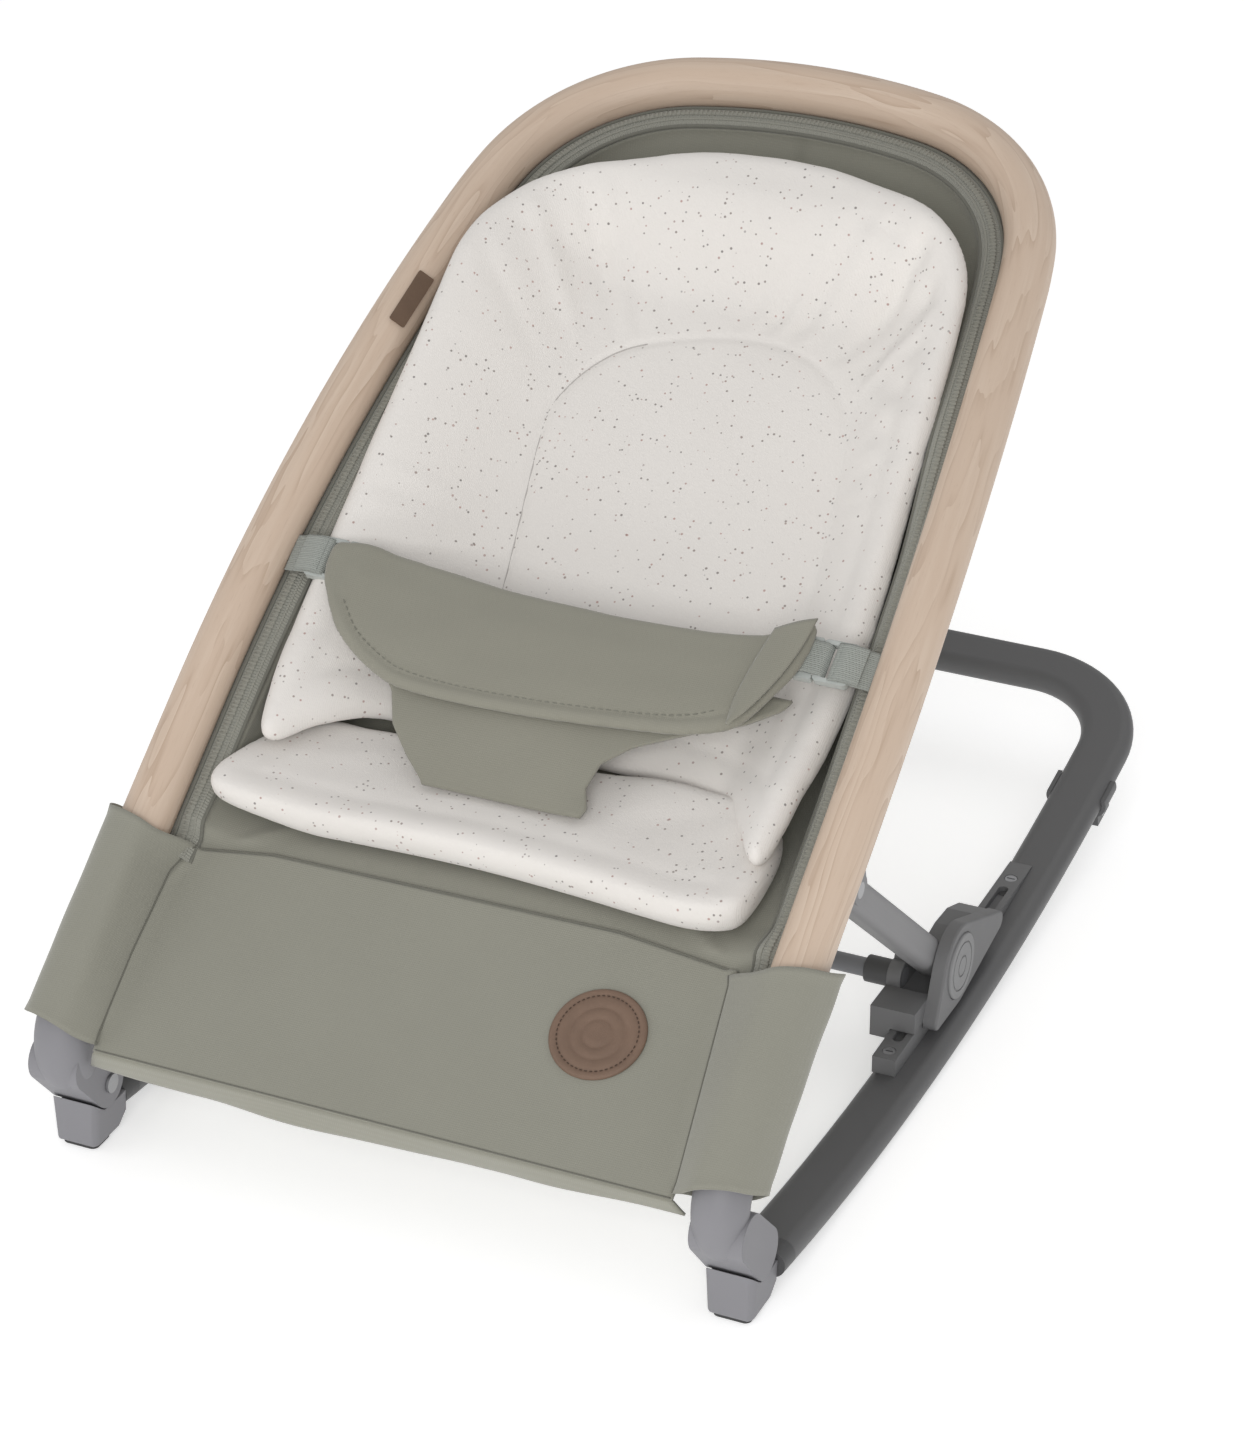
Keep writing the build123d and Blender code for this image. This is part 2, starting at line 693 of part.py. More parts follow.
def slide_shoes():
    """Shoe under each hub that runs in the track's slot."""
    bottom = slope_plane((HUB[0], TRACK_TOP + 0.4), SLIDE_ANGLE)
    with BuildPart() as shoes:
        with BuildSketch(bottom):
            with Locations((TRACK_X, -6), (-TRACK_X, -6)):
                SlotOverall(32, SLOT_WIDTH - 0.6, rotation=90)
        extrude(amount=-3.5)
    save(shoes, "slide_shoes")


# ----------------------------------------------------------------- soft goods


def inset_outline(inset, front):
    """Face inside the hoop, drawn square to the arch, from a front line to the top."""
    with BuildSketch() as outline:
        with BuildLine():
            half = LEG_X - inset
            base = Line((0, front), (half, front))
            leg = Line(base @ 1, (half, -TAPER_LENGTH))
            taper = JernArc(leg @ 1, (0, 1), TAPER_RADIUS - inset, TAPER_TURN)
            side = JernArc(taper @ 1, taper % 1, SIDE_RADIUS - inset, SIDE_TURN)
            corner = JernArc(side @ 1, side % 1, CORNER_RADIUS - inset, CORNER_TURN)
            JernArc(corner @ 1, corner % 1, TOP_RADIUS - inset, TOP_TURN)
            mirror(about=Plane.YZ)
        make_face()
    return outline.sketch


def inset_block(inset, front):
    """Solid of the inset outline, square to the arch, far through the seat both ways."""
    with BuildPart() as block:
        with BuildSketch(ARCH_PLANE):
            add(inset_outline(inset, front))
        extrude(amount=400, both=True)
    return block.part


def hoop_side_face(high, low):
    """Side view strip under the hoop's centre line, between two depths."""
    edges = []
    for depth in (high, low):
        with BuildLine() as curve:
            start = along(along(LEG_END, LEG_END_ANGLE - 90, depth), LEG_END_ANGLE + 180, 80)
            run = Line(start, along(start, LEG_END_ANGLE, 80))
            turn = LEG_END_ANGLE - LEG_BEND_ANGLE
            chord = hypot(LEG_BEND[0] - LEG_END[0], LEG_BEND[1] - LEG_END[1])
            radius = chord / 2 / sin(radians(turn / 2))
            leg = JernArc(run @ 1, run % 1, radius - depth, -turn)
            turn = LEG_BEND_ANGLE - ARCH_ANGLE
            chord = hypot(ARCH_START[0] - LEG_BEND[0], ARCH_START[1] - LEG_BEND[1])
            radius = chord / 2 / sin(radians(turn / 2))
            bow = JernArc(leg @ 1, leg % 1, radius - depth, -turn)
            end = Line(bow @ 1, bow @ 1 + 220 * (bow % 1))
        edges.append((curve.line, start, end @ 1))
    with BuildSketch() as strip:
        with BuildLine():
            add(edges[0][0])
            add(edges[1][0])
            Line(edges[0][1], edges[1][1])
            Line(edges[0][2], edges[1][2])
        make_face()
    return strip.sketch


def zip_band():
    """Flat fabric band with the zip, all round the inside of the hoop."""
    with BuildPart() as band:
        with BuildSketch(side_plane(0)):
            add(hoop_side_face(4, 8))
        extrude(amount=LEG_X, both=True)
        add(inset_block(BAND_INSET[0], -460), mode=Mode.INTERSECT)
        add(inset_block(BAND_INSET[1], -500), mode=Mode.SUBTRACT)
    save(band, "zip_band")


def back_up(back, drop=0):
    """Height of the back rest's flat face, or of a face a drop below it."""
    rise = sin(radians(BACK_ANGLE)) / cos(radians(BACK_ANGLE))
    return CREASE[1] + (back - CREASE[0]) * rise - drop / cos(radians(BACK_ANGLE))


def seat_up(back, lift=0):
    """Height of the seat fabric under the seat pad, or of a face a lift above it."""
    rise = sin(radians(SEAT_ANGLE)) / cos(radians(SEAT_ANGLE))
    return SEAT_FRONT[1] + (back - SEAT_FRONT[0]) * rise + lift


def seat_fabric():
    """Hammock of the seat: bottom, back and side walls up to the zip band."""
    clear = 0.5
    front, top = 60, 640
    crease = CREASE[0] + 1.6
    far = 700

    def trough(skin):
        drop = BACK_PAD_THICK + clear + skin
        return [
            (front, seat_up(front, -clear - skin)),
            (crease, seat_up(crease, -clear - skin)),
            (top, back_up(top, drop)),
        ]

    with BuildPart() as fabric:
        with BuildSketch(side_plane(0)):
            with BuildLine():
                Polyline(*trough(FABRIC), (top, far), (front, far), close=True)
            make_face()
        extrude(amount=LEG_X, both=True)
        with BuildSketch(side_plane(0)):
            add(hoop_side_face(-700, 8.3))
        extrude(amount=LEG_X, both=True, mode=Mode.SUBTRACT)
        with BuildSketch(side_plane(0)):
            with Locations((60, 160)):
                Rectangle(2 * 32, 300)
        extrude(amount=LEG_X, both=True, mode=Mode.SUBTRACT)
        add(inset_block(BAND_INSET[1], -600), mode=Mode.INTERSECT)
        with BuildSketch(side_plane(0)) as hollow:
            with BuildLine():
                Polyline(*trough(0), (top, far), (front, far), close=True)
            make_face()
        inner = extrude(hollow.sketch, amount=LEG_X, both=True, mode=Mode.PRIVATE)
        add(inner & inset_block(BAND_INSET[1] + FABRIC, -620), mode=Mode.SUBTRACT)
    save(fabric, "seat_fabric")


def seat_pad():
    """Cushion the child sits on."""
    with BuildPart() as pad:
        with BuildSketch(slope_plane(SEAT_FRONT, SEAT_ANGLE)):
            with Locations((0, SEAT_PAD_LENGTH / 2)):
                RectangleRounded(SEAT_PAD_WIDTH, SEAT_PAD_LENGTH, 20)
        extrude(amount=SEAT_PAD_THICK)
        fillet(pad.faces().sort_by(Axis.Z)[-1].edges(), 9)
    save(pad, "seat_pad")


def back_pad():
    """Back cushion with raised wings, scooped in the middle."""
    foot = CREASE[0] - 0.5
    tip = 150
    top = 552
    with BuildPart() as pad:
        with BuildSketch(side_plane(0)):
            with BuildLine():
                Polyline(
                    (tip, 206.5),
                    (foot, 214.5),
                    (foot, seat_up(foot) + 1),
                    (CREASE[0] + 3.5, seat_up(CREASE[0] + 3.5) + 1.4),
                    (top, back_up(top, BACK_PAD_THICK)),
                    (top, 490),
                    (480, 438),
                    (400, 376),
                    (300, 302),
                    (tip, 213),
                    close=True,
                )
            make_face()
        extrude(amount=LEG_X, both=True)
        add(inset_block(BACK_PAD_INSET, -600), mode=Mode.INTERSECT)
        far = 200
        wing = SCOOP_FLAT + WING_HEIGHT / SCOOP_RISE
        with BuildSketch(section_plane(0, CREASE, BACK_ANGLE)):
            with BuildLine():
                Polyline((-SCOOP_FLAT, 0), (SCOOP_FLAT, 0), (wing, WING_HEIGHT), (far, WING_HEIGHT),
                         (far, far), (-far, far), (-far, WING_HEIGHT), (-wing, WING_HEIGHT),
                         close=True)
            make_face()
        extrude(amount=600, both=True, mode=Mode.SUBTRACT)
    save(pad, "back_pad")


def leg_sleeves():
    """Fabric sleeve round the lower part of each leg."""
    length = 130
    bottom = along(LEG_END, LEG_END_ANGLE + 180, 38)
    with BuildPart() as sleeve:
        with BuildSketch(section_plane(LEG_X, bottom, LEG_END_ANGLE - 0.2)):
            Circle(SLEEVE_RADIUS)
            Circle(SLEEVE_RADIUS - SLEEVE_WALL, mode=Mode.SUBTRACT)
        extrude(amount=-length)
    save_mirrored(sleeve, "leg_sleeve_right", "leg_sleeve_left")


def front_panel():
    """Fabric panel between the legs, with a hem that folds back under it."""
    hem = 23
    hem_angle = -60
    with BuildPart() as panel:
        with BuildSketch(slope_plane(PANEL_FOOT, PANEL_ANGLE)):
            with BuildLine():
                Polyline(
                    (PANEL_WIDTH / 2, 0),
                    (PANEL_WIDTH / 2 - 9, PANEL_LENGTH),
                    (-PANEL_WIDTH / 2 + 9, PANEL_LENGTH),
                    (-PANEL_WIDTH / 2, 0),
                    close=True,
                )
            make_face()
        extrude(amount=-3)
        with BuildSketch(slope_plane(PANEL_FOOT, hem_angle)):
            with Locations((0, hem / 2)):
                Rectangle(PANEL_WIDTH, hem)
        extrude(amount=2.4)
    save(panel, "front_panel")


def leather_patch():
    """Round sewn patch on the front panel."""
    with BuildPart() as patch:
        with BuildSketch(slope_plane(PANEL_FOOT, PANEL_ANGLE)):
            with Locations((105, 85)):
                Circle(27.5)
        extrude(amount=1.2)
        fillet(patch.faces().sort_by(Axis.Z)[-1].edges(), 0.5)
    save(patch, "leather_patch")


def leather_tag():
    """Small sewn tag on the left of the hoop, facing inwards and up."""
    back = 407
    lean = 39
    slope = 28.7
    reach = WOOD_RADIUS + 0.4
    share = (back - LEG_BEND[0]) / (ARCH_START[0] - LEG_BEND[0])
    x = -(LEG_X - (LEG_X - ARCH_X) * share**2)
    up = (0, -sin(radians(slope)), cos(radians(slope)))
    turn = (LEG_BEND_ANGLE - slope) / (LEG_BEND_ANGLE - ARCH_ANGLE)
    chord_angle = (LEG_BEND_ANGLE + slope) / 2
    place = along(LEG_BEND, chord_angle, turn * 388.6)
    inward = 2 * (LEG_X - ARCH_X) * share / TAPER_LENGTH
    run = Vector(inward, cos(radians(slope)), sin(radians(slope))).normalized()
    lift = Vector(sin(radians(lean)), 0, 0) + Vector(*up) * cos(radians(lean))
    normal = (lift - run * lift.dot(run)).normalized()
    origin = global_point(x, place) + normal * reach
    with BuildPart() as tag:
        with BuildSketch(Plane(origin, x_dir=run, z_dir=normal)):
            RectangleRounded(40, 11, 1)
        extrude(amount=1.4)
    save(tag, "leather_tag")


# ------------------------------------------------------------- waist restraint

BELT_PLANE = slope_plane(BELT_PLACE, BELT_ANGLE)


def waist_belt():
    """Padded belt across the lap."""
    with BuildPart() as belt:
        with BuildSketch(BELT_PLANE):
            with BuildLine():
                ThreePointArc((-138, 30), (0, 18), (138, 30))
                Line((138, 30), (138, 2))
                ThreePointArc((138, 2), (0, -56), (-138, 2))
                Line((-138, 2), (-138, 30))
            make_face()
        extrude(amount=BELT_THICK)
        fillet(belt.faces().sort_by(Axis.Z)[-1].edges(), 2.5)
    save(belt, "waist_belt")


def crotch_strap():
    """Fabric piece from the belt down to the seat pad."""
    top = along(BELT_PLACE, BELT_ANGLE, -37)
    foot = (147, seat_up(147, SEAT_PAD_THICK + 1.5))
    high = (top[0], top[1] - 1.2)
    slope = degrees(atan2(high[1] - foot[1], high[0] - foot[0]))
    length = hypot(high[0] - foot[0], high[1] - foot[1])
    with BuildPart() as strap:
        with BuildSketch(slope_plane(foot, slope)):
            with BuildLine():
                Polyline((-56, 0), (56, 0), (84, length), (-84, length), close=True)
            make_face()
        extrude(amount=-4)
        with BuildSketch(slope_plane((0, seat_up(0, SEAT_PAD_THICK + 0.6)), SEAT_ANGLE)):
            with Locations((0, -200)):
                Rectangle(400, 1200)
        extrude(amount=-60, mode=Mode.SUBTRACT)
    save(strap, "crotch_strap")


BUCKLE_UP = 22
BUCKLE_HALF = 14


def buckles():
    """Two part side buckles: belt half, strap half with bars, and two prongs each."""
    for name, sign in (("right", 1), ("left", -1)):
        with BuildPart() as socket:
            with BuildSketch(BELT_PLANE):
                with Locations((sign * 145.5, BUCKLE_UP)):
                    RectangleRounded(14, 13, 2)
            extrude(amount=6)
            with BuildSketch(BELT_PLANE):
                with Locations((sign * 142.2, BUCKLE_UP)):
                    Rectangle(2.6, 9)
            extrude(amount=6, mode=Mode.SUBTRACT)
        save(socket, f"buckle_socket_{name}")
        with BuildPart() as clip:
            with BuildSketch(BELT_PLANE):
                with Locations((sign * 166, BUCKLE_UP)):
                    RectangleRounded(22, 2 * BUCKLE_HALF, 3)
                with Locations((sign * 162.3, BUCKLE_UP), (sign * 171, BUCKLE_UP)):
                    Rectangle(4.6, 22, mode=Mode.SUBTRACT)
            extrude(amount=5)
        save(clip, f"buckle_clip_{name}")
        for end, side in (("upper", 1), ("lower", -1)):
            with BuildPart() as prong:
                with BuildSketch(BELT_PLANE):
                    with Locations((sign * 148.6, BUCKLE_UP + side * 12)):
                        RectangleRounded(12, 4, 1.2)
                extrude(amount=5)
            save(prong, f"buckle_prong_{name}_{end}")


def webbing():
    """Flat strap from each buckle clip to the hoop."""
    for name, sign in (("right", 1), ("left", -1)):
        with BuildPart() as strap:
            with BuildSketch(BELT_PLANE.offset(2)):
                with Locations((sign * 183.9, BUCKLE_UP)):
                    Rectangle(13.2, 25)
            extrude(amount=1.6)
        save(strap, f"webbing_{name}")


base_tube()
rail_plugs()
front_feet()
foot_pads()
front_hinge_pins()
tracks()
track_screws()
rear_brackets()
rear_feet()
rear_foot_pins()
seat_hoop()
leg_ends()
strut_brackets()
strut_top_pins()
struts()
strut_screws()
hubs()
hub_pins()
hub_buttons()
crossbar()
slide_shoes()
zip_band()
seat_fabric()
seat_pad()
back_pad()
leg_sleeves()
front_panel()
leather_patch()
leather_tag()
waist_belt()
crotch_strap()
buckles()
webbing()
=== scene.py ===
import math

import bpy
import bmesh
import numpy as np
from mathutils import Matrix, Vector

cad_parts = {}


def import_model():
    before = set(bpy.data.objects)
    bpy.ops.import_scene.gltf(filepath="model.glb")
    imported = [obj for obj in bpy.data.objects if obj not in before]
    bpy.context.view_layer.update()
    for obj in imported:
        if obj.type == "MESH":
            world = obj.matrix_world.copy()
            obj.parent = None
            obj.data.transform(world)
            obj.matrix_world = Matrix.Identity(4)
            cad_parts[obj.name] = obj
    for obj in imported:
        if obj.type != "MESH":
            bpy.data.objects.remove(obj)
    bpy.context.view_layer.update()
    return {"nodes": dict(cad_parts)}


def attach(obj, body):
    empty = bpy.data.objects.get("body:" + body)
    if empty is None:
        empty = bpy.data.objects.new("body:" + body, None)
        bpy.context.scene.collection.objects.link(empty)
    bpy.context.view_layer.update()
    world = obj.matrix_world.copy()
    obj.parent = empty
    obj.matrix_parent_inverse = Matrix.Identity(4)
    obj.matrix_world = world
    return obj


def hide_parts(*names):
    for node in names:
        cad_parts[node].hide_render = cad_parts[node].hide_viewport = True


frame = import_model()

MM = 0.001
MID_BACK = 327.435
TAU = 2 * math.pi

# The hoop's plan and side curve, as in the CAD (millimetres and degrees).
LEG_X = 209.0
LEG_END = (16.1, 120.5)
LEG_BEND = (154.0, 224.0)
LEG_END_ANGLE, LEG_BEND_ANGLE, ARCH_ANGLE = 37.45, 36.33, 26.23
ARCH_START = (485.6, 425.6)
TOP_RADIUS, TOP_TURN = 401.9, 11.34
CORNER_RADIUS, CORNER_TURN = 127.6, 66.13
SIDE_RADIUS, SIDE_TURN = 342.9, 5.11
TAPER_TURN = 90 - TOP_TURN - CORNER_TURN - SIDE_TURN
CREASE = (205.0, 210.0)
BACK_ANGLE = 34.9
SEAT_FRONT = (112.0, 171.0)
SEAT_ANGLE = 8.0
# How far the side curve's table reaches below the leg's end, and up the arch plane.
LEG_REACH = 120.0
ARCH_REACH = 300.0

MERGE_DISTANCE = 2e-6
WAVE_COUNT = 7
WAVE_RANGE = (0.5, 2.2)


def rad(a):
    return math.radians(a)


A_DIR = np.array([math.cos(rad(ARCH_ANGLE)), math.sin(rad(ARCH_ANGLE))])
A_NORMAL = np.array([-A_DIR[1], A_DIR[0]])
ARCH_X = (
    TOP_RADIUS * math.sin(rad(TOP_TURN))
    + CORNER_RADIUS * (math.sin(rad(TOP_TURN + CORNER_TURN)) - math.sin(rad(TOP_TURN)))
    + SIDE_RADIUS * (math.cos(rad(TAPER_TURN)) - math.sin(rad(TOP_TURN + CORNER_TURN)))
)
TAPER_RADIUS = (LEG_X - ARCH_X) / (1 - math.cos(rad(TAPER_TURN)))
TAPER_LENGTH = TAPER_RADIUS * math.sin(rad(TAPER_TURN))


# ------------------------------------------------------------------ geometry


def world(x, back, up):
    """Row frame points in metres from millimetres in the side view's own terms."""
    x, back, up = np.broadcast_arrays(x, back, up)
    return np.stack([x, back - MID_BACK, up], -1) * MM


def arc_between(start, end, angle, end_angle, n):
    """Points of the clockwise arc from start to end, whose heading falls from angle to end_angle."""
    turn = rad(angle - end_angle)
    radius = math.dist(start, end) / 2 / math.sin(turn / 2)
    a = rad(angle)
    centre = np.array(start) + radius * np.array([math.sin(a), -math.cos(a)])
    t = a - np.linspace(0, turn, n)
    return centre + radius * np.stack([-np.sin(t), np.cos(t)], -1)


def side_curve():
    """Table of the hoop's height w off the arch plane against v along it."""
    leg = arc_between(LEG_END, LEG_BEND, LEG_END_ANGLE, LEG_BEND_ANGLE, 20)
    bow = arc_between(LEG_BEND, ARCH_START, LEG_BEND_ANGLE, ARCH_ANGLE, 60)
    a = rad(LEG_END_ANGLE)
    low = np.array(LEG_END) - LEG_REACH * np.array([math.cos(a), math.sin(a)])
    rel = np.concatenate([[low], leg, bow[1:]]) - np.array(ARCH_START)
    v, w = rel @ A_DIR, rel @ A_NORMAL
    return np.append(v, ARCH_REACH), np.append(w, 0)


SIDE_V, SIDE_W = side_curve()


def hoop_w(v):
    """Height of the hoop's centre line off the arch plane."""
    return np.interp(v, SIDE_V, SIDE_W)


def from_arch(x, v, w):
    """Row frame points from arch plane coordinates: across, up the plane, off the plane."""
    back, up = (ARCH_START[k] + v * A_DIR[k] + w * A_NORMAL[k] for k in range(2))
    return world(x, back, up)


def to_arch(back, up):
    """Arch plane coordinates v and w of points in the side view."""
    rel = back - ARCH_START[0], up - ARCH_START[1]
    return tuple(rel[0] * axis[0] + rel[1] * axis[1] for axis in (A_DIR, A_NORMAL))


def outline(inset, v0, counts):
    """Right half of the hoop's plan at an inset, from the front v0 to the top middle."""
    x = np.full(counts[0], LEG_X - inset)
    v = np.linspace(v0, -TAPER_LENGTH, counts[0])
    heading = 90.0
    for radius, turn, n in (
        (TAPER_RADIUS, TAPER_TURN, counts[1]),
        (SIDE_RADIUS, SIDE_TURN, counts[2]),
        (CORNER_RADIUS, CORNER_TURN, counts[3]),
        (TOP_RADIUS, TOP_TURN, counts[4]),
    ):
        r = radius - inset
        cx = x[-1] + r * math.cos(rad(heading + 90))
        cv = v[-1] + r * math.sin(rad(heading + 90))
        t = np.radians(heading - 90 + np.linspace(0, turn, n + 1)[1:])
        x = np.append(x, cx + r * np.cos(t))
        v = np.append(v, cv + r * np.sin(t))
        heading += turn
    x[-1] = 0.0
    return x, v


def seat_grid(insets, inner, v0, counts):
    """Grid over the inside of the hoop. Rows run front to top, columns left to right.
    Returns x, v and the inset of each point."""
    rims = [outline(d, v0, counts) for d in insets]
    xs, vs = (np.stack([rim[k] for rim in rims], 1) for k in range(2))
    ds = np.broadcast_to(np.asarray(insets, float), xs.shape)
    t = np.linspace(-1, 1, inner + 2)[1:-1]
    xi = xs[:, -1:] * t
    vi = np.repeat(vs[:, -1:], inner, 1)
    di = ds[:, -1:] + xs[:, -1:] * (1 - np.abs(t))
    columns = (-xs, xi, xs[:, ::-1]), (vs, vi, vs[:, ::-1]), (ds, di, ds[:, ::-1])
    return tuple(np.concatenate(parts, 1) for parts in columns)


def smooth(t):
    """Soft step from 0 to 1 as t goes from 0 to 1."""
    t = np.clip(t, 0, 1)
    return t * t * (3 - 2 * t)


def bell(t, width):
    """Soft bump of height one about t = 0."""
    return np.exp(-((t / width) ** 2))


def unit(vectors):
    return vectors / np.linalg.norm(vectors, axis=-1, keepdims=True)


def run_length(points):
    """Distance along a line of points, from the first to each."""
    return np.concatenate([[0], np.cumsum(np.linalg.norm(np.diff(points, axis=0), axis=1))])


def at_lengths(points, lengths):
    """Points of a line at given distances along it."""
    run = run_length(points)
    return np.stack([np.interp(lengths, run, points[:, k]) for k in range(3)], -1)


def waves(a, b, seed):
    """Smooth seeded field of unit size over two coordinates, as a sum of sines."""
    rng = np.random.default_rng(seed)
    total = np.zeros(np.broadcast(a, b).shape)
    for _ in range(WAVE_COUNT):
        f = rng.uniform(*WAVE_RANGE)
        direction = rng.uniform(0, TAU)
        phase = rng.uniform(0, TAU)
        total = total + np.sin(f * (a * math.cos(direction) + b * math.sin(direction)) + phase)
    return total / math.sqrt(WAVE_COUNT)


def new_object(name, verts, faces, coords=None, soft=True):
    """Mesh object from arrays. coords is stored as the flat cloth or grain coordinate."""
    mesh = bpy.data.meshes.new(name)
    mesh.from_pydata([tuple(p) for p in verts], [], [tuple(f) for f in faces])
    if coords is not None:
        layer = mesh.attributes.new("flat", "FLOAT_VECTOR", "POINT")
        layer.data.foreach_set("vector", np.asarray(coords, np.float32).ravel())
    bm = bmesh.new()
    bm.from_mesh(mesh)
    bmesh.ops.remove_doubles(bm, verts=bm.verts, dist=MERGE_DISTANCE)
    bmesh.ops.dissolve_degenerate(bm, edges=bm.edges, dist=MERGE_DISTANCE / 2)
    bmesh.ops.recalc_face_normals(bm, faces=bm.faces)
    bm.to_mesh(mesh)
    bm.free()
    if soft:
        mesh.polygons.foreach_set("use_smooth", [True] * len(mesh.polygons))
    obj = bpy.data.objects.new(name, mesh)
    bpy.context.scene.collection.objects.link(obj)
    return obj


def grid_faces(rows, cols, offset=0, wrap=False):
    """Quads of a grid of points; wrap joins its last column to its first."""
    faces = []
    for i in range(rows - 1):
        for j in range(cols if wrap else cols - 1):
            k = (j + 1) % cols
            faces.append((offset + i * cols + j, offset + i * cols + k,
                          offset + (i + 1) * cols + k, offset + (i + 1) * cols + j))
    return faces


def shell(name, top, bottom, coords=None):
    """Closed piece between two grids of the same size."""
    rows, cols = top.shape[:2]
    n = rows * cols
    faces = grid_faces(rows, cols) + [tuple(reversed(f)) for f in grid_faces(rows, cols, n)]
    rim = list(range(cols))
    rim += [i * cols + cols - 1 for i in range(1, rows)]
    rim += [(rows - 1) * cols + j for j in range(cols - 2, -1, -1)]
    rim += [i * cols for i in range(rows - 2, 0, -1)]
    for a, b in zip(rim, rim[1:] + rim[:1]):
        faces.append((a, b, b + n, a + n))
    verts = np.concatenate([top.reshape(-1, 3), bottom.reshape(-1, 3)])
    if coords is not None:
        flat = coords.reshape(-1, 3)
        coords = np.concatenate([flat, flat])
    return new_object(name, verts, faces, coords)


def thick(name, mid, thickness, coords=None):
    """Sheet of even thickness (metres) about a grid of points."""
    du = np.gradient(mid, axis=0)
    dv = np.gradient(mid, axis=1)
    normal = np.cross(dv, du)
    size = np.linalg.norm(normal, axis=-1, keepdims=True)
    normal = normal / np.maximum(size, 1e-12)
    normal *= np.where(normal[..., 2:3] < 0, -1, 1)
    half = normal * (thickness / 2)
    return shell(name, mid + half, mid - half, coords)


def sweep(name, centres, profile, up_hint):
    """Profile (n x 2, metres: sideways, up) swept along centres, with the ends closed."""
    tangent = unit(np.gradient(centres, axis=0))
    side = unit(np.cross(tangent, np.broadcast_to(up_hint, centres.shape)))
    up = np.cross(side, tangent)
    verts = centres[:, None] + side[:, None] * profile[:, :1] + up[:, None] * profile[:, 1:]
    rows, cols = verts.shape[:2]
    faces = grid_faces(rows, cols, wrap=True)
    faces.append(tuple(range(cols)))
    faces.append(tuple((rows - 1) * cols + j for j in reversed(range(cols))))
    length = run_length(centres)[:, None]
    flat = np.stack(np.broadcast_arrays(length, profile[:, 0], profile[:, 1]), -1)
    return new_object(name, verts.reshape(-1, 3), faces, flat.reshape(-1, 3))


def circle(radius, n=32):
    t = np.linspace(0, TAU, n, endpoint=False)
    return np.stack([radius * np.cos(t), radius * np.sin(t)], -1)


def rounded_bar(width, height, radius, steps=4):
    """Outline of a bar with round corners."""
    pts = []
    for cx, cy, start in ((1, 1, 0), (-1, 1, 90), (-1, -1, 180), (1, -1, 270)):
        for k in range(steps + 1):
            t = rad(start + 90 * k / steps)
            x = cx * (width / 2 - radius) + radius * math.cos(t)
            y = cy * (height / 2 - radius) + radius * math.sin(t)
            pts.append((x, y))
    return np.array(pts)


def modifier(obj, kind, **settings):
    """Add a modifier and apply it at once."""
    m = obj.modifiers.new(kind.lower(), kind)
    for k, v in settings.items():
        setattr(m, k, v)
    bpy.context.view_layer.objects.active = obj
    obj.select_set(True)
    bpy.ops.object.modifier_apply(modifier=m.name)
    obj.select_set(False)


def join(name, objs):
    bpy.ops.object.select_all(action="DESELECT")
    for o in objs:
        o.select_set(True)
    bpy.context.view_layer.objects.active = objs[0]
    bpy.ops.object.join()
    objs[0].name = name
    objs[0].data.name = name
    objs[0].select_set(False)
    return objs[0]


# ----------------------------------------------------------------- materials


